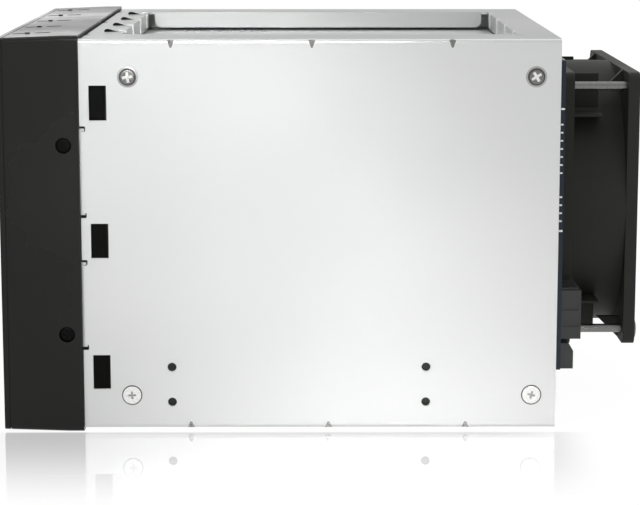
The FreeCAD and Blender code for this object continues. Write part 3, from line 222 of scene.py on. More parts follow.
# %% Moulded plastic
def make_moulding(name, colour, dust, roughness, grain, depth, edge=0.35 * MM, gloss=0.5):
    """Black plastic with a mould grain; grain, depth and edge are lengths.

    Its edges are softened in the shading, as a mould's always are.
    """
    finish, shader = new_finish(name, colour, roughness, **{"Specular IOR Level": gloss})
    place = own_place(finish)
    patches = noise(finish, place, scale=22, detail=4)
    fine = noise(finish, place, scale=1 / grain, roughness=0.6)
    join(finish, two_tones(finish, patches, colour, dust, start=0.4, end=0.8), shader.inputs["Base Color"])
    join(finish, between(finish, patches, roughness - 0.05, roughness + 0.07), shader.inputs["Roughness"])
    bump = relief(finish, shader, fine, strength=0.5, depth=depth)
    soft = add_node(finish, "Bevel", samples=4, Radius=edge)
    join(finish, soft.outputs["Normal"], bump.inputs["Normal"])
    return finish


bezel_black = make_moulding("bezel_black", (0.0100, 0.0100, 0.0092), (0.015, 0.015, 0.0138),
                            roughness=0.24, grain=0.6 * MM, depth=0.01 * MM, gloss=0.22)
tray_black = make_moulding("tray_black", grey(0.020), (0.028, 0.028, 0.027),
                           roughness=0.48, grain=0.5 * MM, depth=0.04 * MM)
front_black = make_moulding("front_black", (0.013, 0.013, 0.0125), (0.019, 0.019, 0.018),
                            roughness=0.42, grain=0.5 * MM, depth=0.03 * MM)
handle_black = make_moulding("handle_black", (0.024, 0.024, 0.0245), grey(0.030),
                             roughness=0.27, grain=1.6 * MM, depth=0.01 * MM)
fan_black = make_moulding("fan_black", (0.034, 0.034, 0.0315), (0.045, 0.045, 0.041),
                          roughness=0.55, grain=0.9 * MM, depth=0.02 * MM, gloss=0.15)
socket_black = make_moulding("socket_black", grey(0.018), grey(0.023),
                             roughness=0.4, grain=0.8 * MM, depth=0.01 * MM, edge=0.1 * MM)
mouldings = (bezel_black, tray_black, front_black, handle_black, fan_black, socket_black)
print("mouldings", [finish.name for finish in mouldings])

# %% [markdown]
# ## Screws
# The screws are nickel plated and brighter than the sheet; those of the bezel are blackened. A plated head
# is never even: handling leaves faint marks that show as small changes of gloss. The flange of a round head
# is a duller steel. Darker steels are painted shade and painted reflection: the dark slope and top of a
# round head, the shade in a cross recess and in the gap round a flat head, the fan's long screws in the
# shade between its flanges, and the darts over the bends.

# %% Plated and blackened steel, and darker steels as painted shade
def make_steel(name, colour, roughness):
    """A metal with faint marks of handling."""
    finish, shader = new_finish(name, colour, roughness, metallic=1.0)
    marks = noise(finish, own_place(finish), scale=900)
    join(finish, between(finish, marks, roughness - 0.06, roughness + 0.12), shader.inputs["Roughness"])
    relief(finish, shader, marks, strength=0.1, depth=0.004 * MM)
    return finish


bright_steel = make_steel("bright_steel", (0.80, 0.80, 0.785), 0.24)
# Duller steel: the flange of a round head, and painted shade on the floor of a flat head's cross.
dull_and_shade_steel = make_steel("dull_and_shade_steel", (0.40, 0.40, 0.395), 0.34)
# Darker steel as painted shade: the fan's long screws, the pressed darts, and the top of a round head as a
# painted dark reflection.
shade_steel = make_steel("shade_steel", (0.19, 0.19, 0.185), 0.3)
# Near-black steel as painted shade and painted reflection: the slope round a round head, the walls of a
# cross, the gap round a flat head.
deep_shade_steel = make_steel("deep_shade_steel", (0.08, 0.075, 0.075), 0.42)
black_steel = make_steel("black_steel", grey(0.009), 0.45)
print("steels", [finish.name for finish in (bright_steel, dull_and_shade_steel, shade_steel, deep_shade_steel, black_steel)])

# %% [markdown]
# ## Circuit board
# The board is laminate under a dark blue solder mask. Through the mask the copper traces show as slightly
# raised and slightly lighter lines that run up the board and turn at small steps. They could be drawn one by
# one, but bricks that are very long and thin give such a bundle of lines with one node.

# %% Solder mask over traces
board_mask, mask_shader = new_finish("board_mask", (0.006, 0.009, 0.022), 0.3, **{
    "Specular IOR Level": 0.25, "Coat Weight": 0.08, "Coat Roughness": 0.2})
upright = add_node(board_mask, "Mapping", Rotation=(0, math.radians(90), 0))
join(board_mask, own_place(board_mask), upright.inputs["Vector"])
traces = add_node(board_mask, "TexBrick", **{"Scale": 1.0, "Brick Width": 21 * MM, "Row Height": 1.3 * MM,
                                             "Mortar Size": 0.22 * MM, "Mortar Smooth": 0.2})
join(board_mask, upright.outputs["Vector"], traces.inputs["Vector"])
trace_tone = two_tones(board_mask, traces.outputs["Fac"], (0.007, 0.010, 0.024), (0.012, 0.019, 0.036),
                       start=0.2, end=0.8)
join(board_mask, trace_tone, mask_shader.inputs["Base Color"])
relief(board_mask, mask_shader, traces.outputs["Fac"], strength=0.4, depth=0.04 * MM)
print("board finish ready")

# %% [markdown]
# ## Small finishes
# Foam under the fan, clear rods that carry the drives' lights to the front, lacquered copper on the motor,
# gold on the contacts and solder on the board are only seen up close, yet each needs its own response to
# light.

# %% Foam, clear rods, copper, gold and solder
gasket_foam, foam_shader = new_finish("gasket_foam", grey(0.012), 0.9)
cells = add_node(gasket_foam, "TexVoronoi", Scale=1800)
join(gasket_foam, own_place(gasket_foam), cells.inputs["Vector"])
relief(gasket_foam, foam_shader, cells.outputs["Distance"], strength=0.8, depth=0.2 * MM)

clear_rod, rod_shader = new_finish("clear_rod", (0.92, 0.95, 0.96), 0.08, **{
    "Transmission Weight": 0.9, "IOR": 1.49})
haze = noise(clear_rod, own_place(clear_rod), scale=240)
join(clear_rod, between(clear_rod, haze, 0.04, 0.16), rod_shader.inputs["Roughness"])

motor_copper, copper_shader = new_finish("motor_copper", (0.50, 0.20, 0.09), 0.3, metallic=0.9)
turns = add_node(motor_copper, "TexWave", wave_type="RINGS", rings_direction="X", Scale=380)
join(motor_copper, own_place(motor_copper), turns.inputs["Vector"])
relief(motor_copper, copper_shader, turns.outputs["Fac"], strength=0.8, depth=0.2 * MM)

contact_gold = make_steel("contact_gold", (0.86, 0.62, 0.26), 0.25)
solder_tin = make_steel("solder_tin", (0.78, 0.79, 0.80), 0.3)
print("small finishes ready")

# %% [markdown]
# ## From finishes to pieces
# Every CAD piece gets one finish, chosen by its name. The five trays are alike, so their pieces are chosen
# by the ending of the name. Only the list of materials changes: the mesh stays as the CAD file made it.

# %% Give every CAD piece its finish
TRAY_COUNT = 5
by_node = {
    "outer_cover": plated_sheet, "base_plate": inner_sheet, "top_deck": inner_sheet,
    "rear_frame": inner_sheet, "front_bezel": bezel_black, "backplane_board": board_mask,
    "drive_sockets": socket_black, "power_sockets": socket_black, "data_sockets": socket_black,
    "fan_header": socket_black, "fan_gasket": gasket_foam, "fan_frame": fan_black, "fan_rotor": fan_black,
    "fan_shaft": bright_steel, "fan_stator": motor_copper, "cover_pan_screws": bright_steel,
    "cover_flush_screws": bright_steel, "bezel_screws": black_steel, "board_screws": bright_steel,
    # The fan's long screws get a darker steel as painted shade: they sit in the shade between the fan's
    # flanges.
    "rear_frame_screws": bright_steel, "fan_screws": shade_steel}
by_ending = {
    "_frame": tray_black, "_front": front_black, "_lever": handle_black, "_button": handle_black,
    "_lever_pin": bright_steel, "_button_spring": bright_steel, "_light_pipe": clear_rod}
for number in range(1, TRAY_COUNT + 1):
    by_node.update({f"tray_{number}{ending}": finish for ending, finish in by_ending.items()})
by_node.update({f"partition_{number}": inner_sheet for number in range(1, TRAY_COUNT)})
for node, finish in by_node.items():
    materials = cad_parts[node].data.materials
    materials.clear()
    materials.append(finish)
print("finished nodes:", len(by_node), "of", len(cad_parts))

# %% [markdown]
# ## Modelling helpers
# New pieces are modelled as by hand: a primitive, a few steps in edit mode, and modifiers that are applied
# at the end. Operators act on all that is selected, so each step first says what it acts on.

# %% Choose and edit
def clear_choice():
    """Leaves nothing selected, so that an operator acts only on what is picked next."""
    if bpy.context.object is not None and bpy.context.object.mode != "OBJECT":
        bpy.ops.object.mode_set(mode="OBJECT")
    bpy.ops.object.select_all(action="DESELECT")


def choose(*pieces):
    """Selects these pieces alone and makes the first one active."""
    clear_choice()
    for piece in pieces:
        piece.select_set(True)
    bpy.context.view_layer.objects.active = pieces[0]


def edit(piece):
    """Opens the piece in edit mode with all of it selected."""
    choose(piece)
    bpy.ops.object.mode_set(mode="EDIT")
    bpy.ops.mesh.select_all(action="SELECT")


def leave_edit():
    bpy.ops.object.mode_set(mode="OBJECT")


def apply_place(piece):
    """Moves the piece's place, turn and size into its mesh."""
    choose(piece)
    bpy.ops.object.transform_apply(location=True, rotation=True, scale=True)


print("editing helpers ready")

# %% Pick faces and edges in edit mode
CLOSE = 0.01 * MM


def pick(kind, wanted):
    """Selects only those faces or edges that pass the test."""
    mesh_data = bpy.context.object.data
    bpy.ops.mesh.select_mode(type=kind)
    bpy.ops.mesh.select_all(action="DESELECT")
    mesh = bmesh.from_edit_mesh(mesh_data)
    for part in mesh.faces if kind == "FACE" else mesh.edges:
        part.select_set(bool(wanted(part)))
    bmesh.update_edit_mesh(mesh_data)


def pick_faces(wanted):
    """Picks faces by a test of their middle and their normal."""
    pick("FACE", lambda face: wanted(face.calc_center_median(), face.normal))


def pick_edges(wanted):
    """Picks edges by a test of their two ends."""
    pick("EDGE", lambda edge: wanted(edge.verts[0].co, edge.verts[1].co))


print("picking helpers ready")

# %% Copy, join and settle
def join_pieces(parts):
    """Makes one piece of several."""
    choose(*parts)
    bpy.ops.object.join()
    return bpy.context.object


def spread(piece, places):
    """Copies the piece, each copy with its own mesh and its own place, and joins the copies."""
    copies = []
    for place in places:
        copy = piece.copy()
        copy.data = piece.data.copy()
        copy.data.transform(place if isinstance(place, Matrix) else Matrix.Translation(place))
        bpy.context.collection.objects.link(copy)
        copies.append(copy)
    bpy.data.objects.remove(piece)
    return join_pieces(copies)


def settle(piece, name, body, slot, *finishes):
    """Names the piece, gives it its finishes and lets it ride on a body of the assembly."""
    clear_choice()
    piece.name = name
    piece.data.name = name
    if finishes:
        piece.data.materials.clear()
        for finish in finishes:
            piece.data.materials.append(finish)
    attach(piece, body)
    print(name, "rides on", body, "with", len(piece.data.polygons), "faces")
    return piece


print("copying helpers ready")

# %% [markdown]
# ## Solder at the board's edge
# The pins of the first drive socket are soldered close to the edge of the board, and their joints stick out
# of it as two short rows of bright beads, with a longer bead at each end for the socket's pegs. A flattened
# ball would do from afar; a short rod with two rounded ends also holds up in a close view.

# %% A rod with rounded ends
ROD_SIDES = 10
ROD_ROUNDING = 0.6
ROD_FLATNESS = 0.8


def rounded_rod(length, radius):
    """A rod along X with rounded ends, squeezed a little from above."""
    clear_choice()
    bpy.ops.mesh.primitive_cylinder_add(vertices=ROD_SIDES, radius=radius, depth=length,
                                        rotation=(0, math.radians(90), 0))
    rod = bpy.context.object
    apply_place(rod)
    edit(rod)
    pick_edges(lambda first, second: abs(first.x - second.x) < CLOSE)
    bpy.ops.mesh.bevel(offset=radius * ROD_ROUNDING, segments=2)
    bpy.ops.mesh.select_all(action="SELECT")
    bpy.ops.transform.resize(value=(1, 1, ROD_FLATNESS))
    leave_edit()
    return rod


print("rod helper ready")

# %% Solder beads
BEAD_PITCH = 2.6 * MM
BEAD_ROWS = ((4.5 * MM, 7), (27.9 * MM, 4))
BEAD_LENGTH, BEAD_RADIUS = 1.1 * MM, 0.42 * MM
PEG_LENGTH, PEG_RADIUS, PEG_RISE = 1.5 * MM, 0.5 * MM, 0.5 * MM
board_low, board_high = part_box("backplane_board")
sockets_low, sockets_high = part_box("drive_sockets")
bead_foot = Vector((board_low.x + 0.62 * MM, board_low.y + 0.05 * MM, 0))
peg_foot = bead_foot + Vector((0.15 * MM, 0, 0))
bead_places = [bead_foot + Vector((0, 0, sockets_high.z - drop - BEAD_PITCH * step))
               for drop, count in BEAD_ROWS for step in range(count)]
peg_places = [peg_foot + Vector((0, 0, end.z + PEG_RISE)) for end in (sockets_high, sockets_low)]
beads = spread(rounded_rod(BEAD_LENGTH, BEAD_RADIUS), bead_places)
pegs = spread(rounded_rod(PEG_LENGTH, PEG_RADIUS), peg_places)
edge_solder = join_pieces([beads, pegs])
bpy.ops.object.shade_smooth()
settle(edge_solder, "edge_solder", "cage", "bright_steel", solder_tin)

# %% [markdown]
# ## Screws on the cover
# Two screws on each side have a thin flange under a low round head, and two are flat heads that sit almost
# level with the sheet. On a lathe each would be one profile turned about its axis, and in a 3D tool it could
# be spun. Here a disc walks along the profile: it is extruded to the next height and resized to the next
# radius, step by step. The cross is cut with two bars. The flange of a round head is a duller steel, and
# darker steels are painted shade and painted reflection on the dome's slope and top, in the cross and in the
# gap round a flat head.

# %% Walk a disc along a profile
def face_outwards():
    """In edit mode, turns all faces outwards, and leaves edit mode."""
    bpy.ops.mesh.select_all(action="SELECT")
    bpy.ops.mesh.normals_make_consistent(inside=False)
    leave_edit()


def turned_piece(profile, sides=32):
    """A round solid about Z from (radius, height) steps in millimetres."""
    clear_choice()
    radius, height = profile[0]
    bpy.ops.mesh.primitive_circle_add(vertices=sides, radius=radius * MM, fill_type="NGON",
                                      location=(0, 0, height * MM))
    piece = bpy.context.object
    apply_place(piece)
    edit(piece)
    for next_radius, next_height in profile[1:]:
        rise = (0, 0, (next_height - height) * MM)
        share = next_radius / radius
        bpy.ops.mesh.extrude_region_move(TRANSFORM_OT_translate={"value": rise})
        bpy.ops.transform.resize(value=(share, share, 1), center_override=(0, 0, next_height * MM))
        radius, height = next_radius, next_height
    face_outwards()
    return piece


print("turning helper ready")

# %% Paint faces and cut a cross
def paint_faces(piece, number, finish, wanted):
    """Gives the faces that pass the test a finish of their own."""
    while len(piece.data.materials) <= number:
        piece.data.materials.append(finish)
    edit(piece)
    pick_faces(wanted)
    piece.active_material_index = number
    bpy.ops.object.material_slot_assign()
    leave_edit()


def cut_cross(piece, reach, width, top, depth=0.5):
    """Cuts the recess for a cross driver into the top of a screw, in millimetres."""
    for turn in (0, 90):
        clear_choice()
        bpy.ops.mesh.primitive_cube_add(size=MM, scale=(2 * reach, width, 2 * depth),
                                        location=(0, 0, top * MM), rotation=(0, 0, math.radians(turn)))
        cutter = bpy.context.object
        apply_place(cutter)
        recess = piece.modifiers.new("recess", "BOOLEAN")
        recess.operation = "DIFFERENCE"
        recess.object = cutter
        choose(piece)
        bpy.ops.object.modifier_apply(modifier="recess")
        bpy.data.objects.remove(cutter)


def off_axis(point):
    """How far a point lies from the screw's axis, in millimetres."""
    return math.hypot(point.x, point.y) / MM


def is_wall(normal):
    """True for a face that stands along the screw's axis."""
    return abs(normal.z) < 0.2


print("screw helpers ready")

# %% Places in the cover's sides
SIDES = (-1, 1)
COVER_SIDE = 73 * MM
pans_low, pans_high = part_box("cover_pan_screws")
flats_low, flats_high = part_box("cover_flush_screws")
pan_height = (pans_low.z + pans_high.z) / 2
flat_height = (flats_low.z + flats_high.z) / 2
pan_radius = (pans_high.z - pans_low.z) / 2
screw_columns = (pans_low.x + pan_radius, pans_high.x - pan_radius)


def facing_out(x, side, z, turn):
    """The place of a screw in the cover's side, turned about its own axis."""
    outwards = Matrix.Rotation(math.radians(-90 * side), 4, "X")
    own_turn = Matrix.Rotation(math.radians(turn), 4, "Z")
    return Matrix.Translation((x, side * COVER_SIDE, z)) @ outwards @ own_turn


def spread_screws(screw, height, turns):
    """Copies a screw to both columns of each side, each column with its own turn."""
    return spread(screw, [facing_out(x, side, height, turn)
                          for side in SIDES for x, turn in zip(screw_columns, turns)])


print("screw columns in millimetres:", [round(x / MM, 1) for x in screw_columns])

# %% Flanged round heads
SHANK = [(1.4, -1.5), (1.4, 0)]
PAN_TOP, PAN_HEAD, PAN_CROWN = 0.88, 2.75, 2
pan_screw = turned_piece(SHANK + [(3.35, 0), (3.35, 0.12), (3.2, 0.2), (PAN_HEAD, 0.26), (2.62, 0.28),
                                  (2.55, 0.6), (2.3, 0.8), (1.9, PAN_TOP)])
pan_screw.data.materials.append(bright_steel)
cut_cross(pan_screw, reach=1.75, width=0.95, top=PAN_TOP)
# The flange of the round head is a duller steel.
paint_faces(pan_screw, 1, dull_and_shade_steel, lambda middle, normal: off_axis(middle) > PAN_HEAD)
# Painted shade and painted dark reflection: the slope round the dome and the walls of the cross are
# near-black steel.
paint_faces(pan_screw, 2, deep_shade_steel, lambda middle, normal: (
    middle.z > 0 and off_axis(middle) < PAN_HEAD and (off_axis(middle) > PAN_CROWN or is_wall(normal))))
# Painted dark reflection: the top of the dome gets a darker steel, while the floor of the cross stays
# bright.
paint_faces(pan_screw, 3, shade_steel, lambda middle, normal: middle.z > (PAN_TOP - 0.05) * MM)
pans = spread_screws(pan_screw, pan_height, turns=(8, 31))
settle(pans, "pan_screws", "cage", "bright_steel")
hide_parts("cover_pan_screws")

# %% Flat heads
FLAT_TOP, FLAT_RIM, FLAT_CROSS = 0.2, 2.97, 1.3
flat_screw = turned_piece(SHANK + [(3.3, 0), (3.3, 0.04), (3.02, 0.05), (2.95, 0.16), (2.7, FLAT_TOP)])
flat_screw.data.materials.append(bright_steel)
cut_cross(flat_screw, reach=1.25, width=0.62, top=FLAT_TOP)
# Painted shade: the gap ring round the head and the walls of the cross are near-black steel.
paint_faces(flat_screw, 1, deep_shade_steel, lambda middle, normal: (
    off_axis(middle) > FLAT_RIM or off_axis(middle) < FLAT_CROSS and is_wall(normal) and middle.z > -MM))
# Painted shade: the floor of the cross is a duller steel.
paint_faces(flat_screw, 2, dull_and_shade_steel, lambda middle, normal: (
    off_axis(middle) < FLAT_CROSS and -MM < middle.z < (FLAT_TOP - 0.1) * MM and normal.z > 0.5))
flats = spread_screws(flat_screw, flat_height, turns=(4, -14))
settle(flats, "flat_screws", "cage", "bright_steel")
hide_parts("cover_flush_screws")

# %% [markdown]
# ## Pressed details of the sheet
# A press leaves more than holes. Beside the beads of the top's front strip it has torn small lances: half a
# drop, raised over its own hole, whose mouth looks to the side. A drop is turned like a screw, laid down and
# cut by two planes, one level with the sheet and one along the mouth; the flat face of the mouth is painted
# near-black as the shade of the hole behind it.

# %% Lines of the sheet
CAGE_LENGTH = 152.8 * MM
BAY_PITCH = 28.5 * MM
SCREW_DROP = 12.05 * MM
cage_low, cage_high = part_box("outer_cover")
cage_front = cage_high.x - CAGE_LENGTH
sheet_top = pan_height + SCREW_DROP
partition_lines = [odd * BAY_PITCH / 2 for odd in (-3, -1, 1, 3)]
print("partitions at millimetres:", [round(line / MM, 2) for line in partition_lines])

# %% Lances
LANCE_PLACE = 5.2 * MM
LANCE_WIDENING = 1.3
# The mouth is a closed flat face; its near-black finish is painted shade for the hole under the lance.
painted_mouth_shade, mouth_shade_shader = new_finish("painted_mouth_shade", grey(0.010), 0.7, **{"Specular IOR Level": 0.1})
relief(painted_mouth_shade, mouth_shade_shader, noise(painted_mouth_shade, own_place(painted_mouth_shade), scale=1500),
       strength=0.3, depth=0.05 * MM)
lance = turned_piece([(0.3, 0), (0.8, 0.4), (0.98, 1.0), (0.85, 1.9), (0.45, 3.1), (0.15, 4.2)], sides=16)
lance.rotation_euler.y = math.radians(90)
apply_place(lance)
edit(lance)
bpy.ops.transform.resize(value=(1, LANCE_WIDENING, 1), center_override=(0, 0, 0))
for plane, direction in (((0, 0, -0.1 * MM), (0, 0, 1)), ((0, -0.2 * MM, 0), (0, 1, 0))):
    bpy.ops.mesh.select_all(action="SELECT")
    bpy.ops.mesh.bisect(plane_co=plane, plane_no=direction, use_fill=True, clear_inner=True)
face_outwards()
lance.data.materials.append(plated_sheet)
# Painted shade on the mouth's face.
paint_faces(lance, 1, painted_mouth_shade, lambda middle, normal: normal.y < -0.9)
lances = spread(lance, [Vector((cage_front + LANCE_PLACE, line, sheet_top)) for line in partition_lines])
settle(lances, "top_lances", "cage", "zinc_sheet")

# %% [markdown]
# Behind the opening the press has pushed short ribs over the fold, one above each partition. They are the
# same rods as the solder beads, stood upright and sunk halfway into the flange.

# %% Ribs over the rear fold
REAR_STRIP = 12.3 * MM
FOLD_RIB_LENGTH, FOLD_RIB_RADIUS, FOLD_RIB_DROP = 5.6 * MM, 0.65 * MM, 2.5 * MM
fold_rib_x = cage_high.x - REAR_STRIP + 0.1 * MM
fold_rib = rounded_rod(FOLD_RIB_LENGTH, FOLD_RIB_RADIUS)
fold_rib.rotation_euler.y = math.radians(90)
apply_place(fold_rib)
rear_ribs = spread(fold_rib, [Vector((fold_rib_x, line, sheet_top - FOLD_RIB_DROP))
                              for line in partition_lines])
bpy.ops.object.shade_smooth()
settle(rear_ribs, "rear_fold_ribs", "cage", "zinc_sheet", plated_sheet)

# %% [markdown]
# Over the long bends, above and below, small darts keep the corners stiff. From the side a pressed dart
# shows as a dark wedge of shade; here a thin plate, narrowed at one end, stands a hair proud of the sheet in
# a darker steel, as painted shade.

# %% Plates
def plate(low, high, rounding=0):
    """A plate between two corners, with its edges broken where rounding says how far."""
    clear_choice()
    size = [b - a for a, b in zip(low, high)]
    middle = [(a + b) / 2 for a, b in zip(low, high)]
    bpy.ops.mesh.primitive_cube_add(size=1, location=middle, scale=size)
    piece = bpy.context.object
    apply_place(piece)
    if rounding:
        edit(piece)
        bpy.ops.mesh.bevel(offset=rounding, segments=1)
        leave_edit()
    return piece


def side_span(side, inner, outer):
    """The lower and the higher y of a plate that lies between two distances on one side of the cage."""
    return sorted((side * inner, side * outer))


print("plate helpers ready")

# %% Darts
DART_HALF, DART_TIP_SHARE = 1.1 * MM, 0.25
DART_ROOT, DART_RISE = 0.7 * MM, 0.06 * MM
TOP_DARTS, LOW_DARTS = (0.191, 0.483, 0.774), (0.226, 0.518, 0.809)
top_fold = (sheet_top - 0.45 * MM, sheet_top - 2.8 * MM)
low_fold = (cage_low.z + 0.25 * MM, cage_low.z + 2.1 * MM)


def dart(middle, side, foot, tip):
    """A small wedge over the fold, wide at its foot and narrow at its tip."""
    near, far = side_span(side, COVER_SIDE - DART_ROOT, COVER_SIDE + DART_RISE)
    wedge = plate((middle - DART_HALF, near, min(foot, tip)), (middle + DART_HALF, far, max(foot, tip)))
    edit(wedge)
    pick_faces(lambda place, normal: abs(place.z - tip) < CLOSE)
    bpy.ops.transform.resize(value=(DART_TIP_SHARE, 1, 1), center_override=(middle, 0, 0))
    leave_edit()
    return wedge


darts = [dart(cage_front + share * CAGE_LENGTH, side, foot, tip)
         for side in SIDES for shares, (foot, tip) in ((TOP_DARTS, top_fold), (LOW_DARTS, low_fold))
         for share in shares]
# The darts' darker steel is painted shade of the pressed-in wedge.
settle(join_pieces(darts), "fold_darts", "cage", "zinc_sheet", shade_steel)

# %% [markdown]
# ## Tabs in the side windows
# The bezel holds on to the cage with three tabs on each side that snap into windows of the cover. Their
# faces lie in the shade of the sheet and look blacker than the rest of the bezel, so each gets a thin black
# face with broken edges just above the moulded tab.

# %% Faces of the tabs
WINDOW_START, WINDOW_LENGTH, WINDOW_HEIGHT = 3.05 * MM, 5.6 * MM, 11.2 * MM
WINDOW_RISES = (13.05 * MM, 56.15 * MM, 100.55 * MM)
TAB_GAP, TAB_REAR_GAP = 0.15 * MM, 0.45 * MM
TAB_ROOT, TAB_SINK, TAB_ROUNDING = 0.5 * MM, 0.02 * MM, 0.12 * MM
tab_black = make_moulding("tab_black", (0.0030, 0.0030, 0.0028), (0.0045, 0.0045, 0.0042),
                          roughness=0.5, grain=0.6 * MM, depth=0.01 * MM, gloss=0.06)
tab_front = cage_front + WINDOW_START + TAB_GAP
tab_rear = cage_front + WINDOW_START + WINDOW_LENGTH - TAB_REAR_GAP
tabs = []
for side in SIDES:
    near, far = side_span(side, COVER_SIDE - TAB_ROOT, COVER_SIDE - TAB_SINK)
    for rise in WINDOW_RISES:
        low, high = cage_low.z + rise + TAB_GAP, cage_low.z + rise + WINDOW_HEIGHT - TAB_GAP
        tabs.append(plate((tab_front, near, low), (tab_rear, far, high), TAB_ROUNDING))
settle(join_pieces(tabs), "tab_faces", "cage", "black_moulding", tab_black)

# %% [markdown]
# ## Ribs of the fan
# Between the fan's front flange and its round duct stand thin ribs that keep the flange stiff. Each is a
# small plate with broken edges, and eight of them make four pairs, one pair on each side of the duct.

# %% Thin plates behind the flange
RIB_LINE, RIB_INNER, RIB_OUTER = 31.6 * MM, 33.0 * MM, 44.6 * MM
RIB_HALF, RIB_ROUNDING = 0.4 * MM, 0.15 * MM
fan_low, fan_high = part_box("fan_frame")
fan_middle = (fan_low.z + fan_high.z) / 2
rib_front, rib_rear = fan_low.x + 3.1 * MM, fan_low.x + 13 * MM
ribs = []
for side in SIDES:
    near, far = side_span(side, RIB_INNER, RIB_OUTER)
    for line in (-RIB_LINE, RIB_LINE):
        lower, upper = line - RIB_HALF, line + RIB_HALF
        ribs.append(plate((rib_front, near, fan_middle + lower), (rib_rear, far, fan_middle + upper),
                          RIB_ROUNDING))
        ribs.append(plate((rib_front, lower, fan_middle + near), (rib_rear, upper, fan_middle + far),
                          RIB_ROUNDING))
settle(join_pieces(ribs), "fan_ribs", "cage", "fan_plastic", fan_black)

# %% [markdown]
# ## Pins of the sockets
# Every drive socket is soldered through the board, so the board's rear carries rows of small domes, except
# where the fan's foam or another socket covers it. Inside the sockets thin gold contacts lie along one wall
# of each slot.

# %% Where the board is bare
MARGIN = 0.5 * MM
FOAM_HOLE = 43 * MM
foam_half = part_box("fan_gasket")[1].y
rear_sockets = [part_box(node) for node in ("power_sockets", "data_sockets", "fan_header")]


def under_foam(y, z):
    across, up = abs(y), abs(z - fan_middle)
    return max(across, up) < foam_half + MARGIN and math.hypot(across, up) > FOAM_HOLE


def is_bare(y, z):
    """True where neither foam nor a rear socket covers the board."""
    return not under_foam(y, z) and not any(
        low.y - MM < y < high.y + MM and low.z - MM < z < high.z + MM for low, high in rear_sockets)


print("rear sockets to keep clear of:", len(rear_sockets))

# %% Domes on the rear of the board
DOME_PITCH, DOME_COUNT = 2.54 * MM, 14
DOME_RADIUS, DOME_FLATNESS = 0.48 * MM, 0.9
DOME_ROWS = ((-0.6 * MM, 2.4 * MM), (0.7 * MM, 3.67 * MM))
socket_lines = [number * BAY_PITCH - 8.6 * MM for number in (-2, -1, 0, 1, 2)]
dome_places = []
for line in socket_lines:
    for offset, start in DOME_ROWS:
        heights = [sockets_low.z + start + DOME_PITCH * step for step in range(DOME_COUNT)]
        dome_places += [Vector((board_high.x, line + offset, z)) for z in heights if is_bare(line, z)]
clear_choice()
bpy.ops.mesh.primitive_uv_sphere_add(segments=8, ring_count=4, radius=DOME_RADIUS)
dome = bpy.context.object
edit(dome)
bpy.ops.transform.resize(value=(DOME_FLATNESS, 1, 1))
leave_edit()
domes = spread(dome, dome_places)
bpy.ops.object.shade_smooth()
settle(domes, "board_domes", "cage", "bright_steel", solder_tin)

# %% Gold contacts
CONTACT_PITCH = 1.27 * MM
CONTACT_ROWS = ((5.9 * MM, 15), (28.8 * MM, 6))
CONTACT_LENGTH, CONTACT_THICK, CONTACT_HALF = 4.2 * MM, 0.3 * MM, 0.35 * MM
contact = plate((0, 0, -CONTACT_HALF), (CONTACT_LENGTH, CONTACT_THICK, CONTACT_HALF), rounding=0.07 * MM)
slot_wall = Vector((sockets_low.x + MM, 0.85 * MM, sockets_low.z))
contacts = spread(contact, [slot_wall + Vector((0, line, start + CONTACT_PITCH * step))
                            for line in socket_lines for start, count in CONTACT_ROWS
                            for step in range(count)])
settle(contacts, "socket_contacts", "cage", "bright_steel", contact_gold)

# %% [markdown]
# ## Studio floor
# The object stands on a pale floor in a white studio. The floor is white to the camera and to reflections,
# and still takes a soft shadow. In front of the cage it also shows a mirror image that fades within a hand's
# breadth; a real glossy floor would mirror the fan as well, which the picture doesn't show, so the share of
# the mirror is worked out from the place on the floor.

# %% Arithmetic with nodes
def calculate(owner, operation, first, second):
    """One step of arithmetic between two values, each a socket or a number."""
    step = add_node(owner, "Math", operation=operation)
    for socket, value in zip(step.inputs, (first, second)):
        if isinstance(value, (int, float)):
            socket.default_value = value
        else:
            join(owner, value, socket)
    return step.outputs[0]


def seen_rays(owner):
    """1 for rays that show a surface, straight, mirrored or through glass, and 0 for rays that light it."""
    path = add_node(owner, "LightPath")
    result = path.outputs["Is Camera Ray"]
    for name in ("Is Glossy Ray", "Is Transmission Ray"):
        result = calculate(owner, "MAXIMUM", result, path.outputs[name])
    return result


def mix_shaders(finish, share, first, second):
    mix = add_node(finish, "MixShader")
    for start, socket in zip((share, first, second), mix.inputs):
        join(finish, start, socket)
    return mix.outputs[0]


print("floor helpers ready")

# %% Floor
WHITE_SHARE = 0.9
MIRROR_SHARE, MIRROR_REACH = 0.46, 85 * MM
SOFT_EDGE = 20 * MM
FLOOR_SIZE, FLOOR_GAP = 8, 0.2 * MM


def mirror_share(finish):
    """The share of the mirror image: only in front of the cage, and weaker away from it."""
    axes = add_node(finish, "SeparateXYZ")
    join(finish, add_node(finish, "TexCoord").outputs["Object"], axes.inputs[0])
    along, before = axes.outputs["X"], calculate(finish, "SUBTRACT", cad_box[0].y, axes.outputs["Y"])
    bezel_front, board_front = cad_box[0].x, board_low.x
    share = between(finish, before, MIRROR_SHARE, 0, start=0, end=MIRROR_REACH)
    edges = (between(finish, before, 0, 1, start=-MM, end=MM),
             between(finish, along, 0, 1, start=bezel_front - SOFT_EDGE, end=bezel_front),
             between(finish, along, 1, 0, start=board_front - SOFT_EDGE, end=board_front + 15 * MM))
    for edge in edges:
        share = calculate(finish, "MULTIPLY", share, edge)
    return share


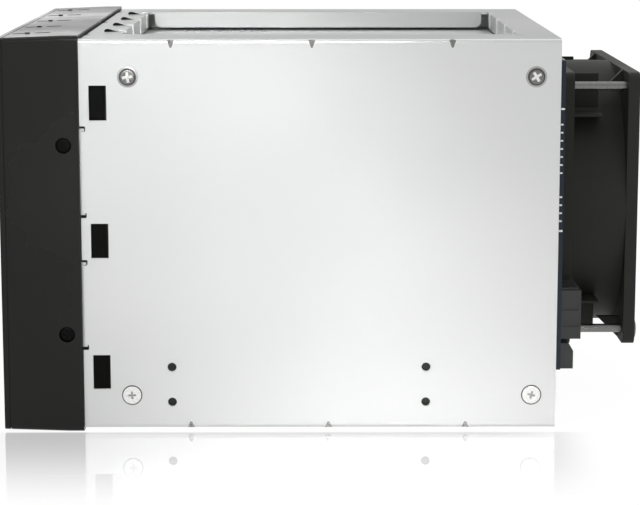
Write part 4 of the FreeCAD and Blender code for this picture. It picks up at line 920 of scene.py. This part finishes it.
def make_floor_finish():
    """White to the eye, with a soft shadow and a fading mirror image."""
    finish, shader = new_finish("studio_floor", grey(0.86), 0.6)
    white = add_node(finish, "Emission", Strength=1.06)
    mirror = add_node(finish, "BsdfPrincipled", Metallic=1.0, Roughness=0.03, **{"Base Color": (1, 1, 1, 1)})
    seen = seen_rays(finish)
    pale = mix_shaders(finish, calculate(finish, "MULTIPLY", seen, WHITE_SHARE), shader.outputs[0],
                       white.outputs[0])
    final = mix_shaders(finish, calculate(finish, "MULTIPLY", seen, mirror_share(finish)), pale,
                        mirror.outputs[0])
    join(finish, final, finish.node_tree.nodes["Material Output"].inputs["Surface"])
    return finish


clear_choice()
bpy.ops.mesh.primitive_plane_add(size=FLOOR_SIZE, location=(0, 0, -FLOOR_GAP))
floor = bpy.context.object
floor.name = "studio_floor"
floor.data.materials.append(make_floor_finish())
print("floor laid")

# %% [markdown]
# ## World and lamps
# The camera sees a white room, reflections see it a little darker so that glossy plastic stays black, and as
# a light it has half strength. Large, soft lamps above, behind and in front give the sheet its slow changes
# from pale grey to near white. A narrow strip whose light spreads by only a few degrees adds the pale band
# that runs across the side at a slant, and a small lamp far behind shines along the top of the bezel.

# %% World
LIGHTING_STRENGTH, REFLECTED_STRENGTH = 0.5, 0.82
world = bpy.data.worlds.new("studio")
bpy.context.scene.world = world
world.use_nodes = True
background = world.node_tree.nodes["Background"]
background.inputs["Color"].default_value = (*grey(1), 1)
level = between(world, seen_rays(world), LIGHTING_STRENGTH, REFLECTED_STRENGTH, start=0, end=1)
straight = add_node(world, "LightPath").outputs["Is Camera Ray"]
join(world, calculate(world, "MAXIMUM", level, straight), background.inputs["Strength"])
print("world ready")

# %% Lamps
def softbox(name, place, size, power, aim=(0, 0, 0.065), roll=0, spread_angle=180):
    """A flat lamp that looks at a point, turned about its own axis, with an optional grid in front of it."""
    data = bpy.data.lights.new(name, "AREA")
    data.shape = "RECTANGLE"
    data.size, data.size_y = size
    data.energy = power
    data.spread = math.radians(spread_angle)
    lamp = bpy.data.objects.new(name, data)
    direction = (Vector(aim) - Vector(place)).to_track_quat("-Z", "Y").to_matrix().to_4x4()
    own_turn = Matrix.Rotation(math.radians(roll), 4, "Z")
    lamp.matrix_world = Matrix.Translation(place) @ direction @ own_turn
    lamp.visible_camera = False
    bpy.context.collection.objects.link(lamp)
    print(name, "at", place)


softbox("diagonal_strip", (-0.02, -1.15, 0.42), (0.03, 0.42), power=0.06, aim=(-0.018, -0.073, 0.068),
        roll=33, spread_angle=9)
softbox("overhead", (0.0, 0.1, 1.5), (1.2, 1.2), power=2.5)
softbox("rear_left", (-1.0, 1.1, 0.8), (0.9, 0.9), power=4)
softbox("rear_right", (1.1, 0.9, 0.7), (0.9, 0.9), power=4)
softbox("front_left", (-0.9, -1.3, 0.9), (0.7, 0.7), power=2)
softbox("behind_bezel", (-0.45, 2.0, 0.32), (0.4, 0.3), power=0.25, aim=(-0.09, 0, 0.128))
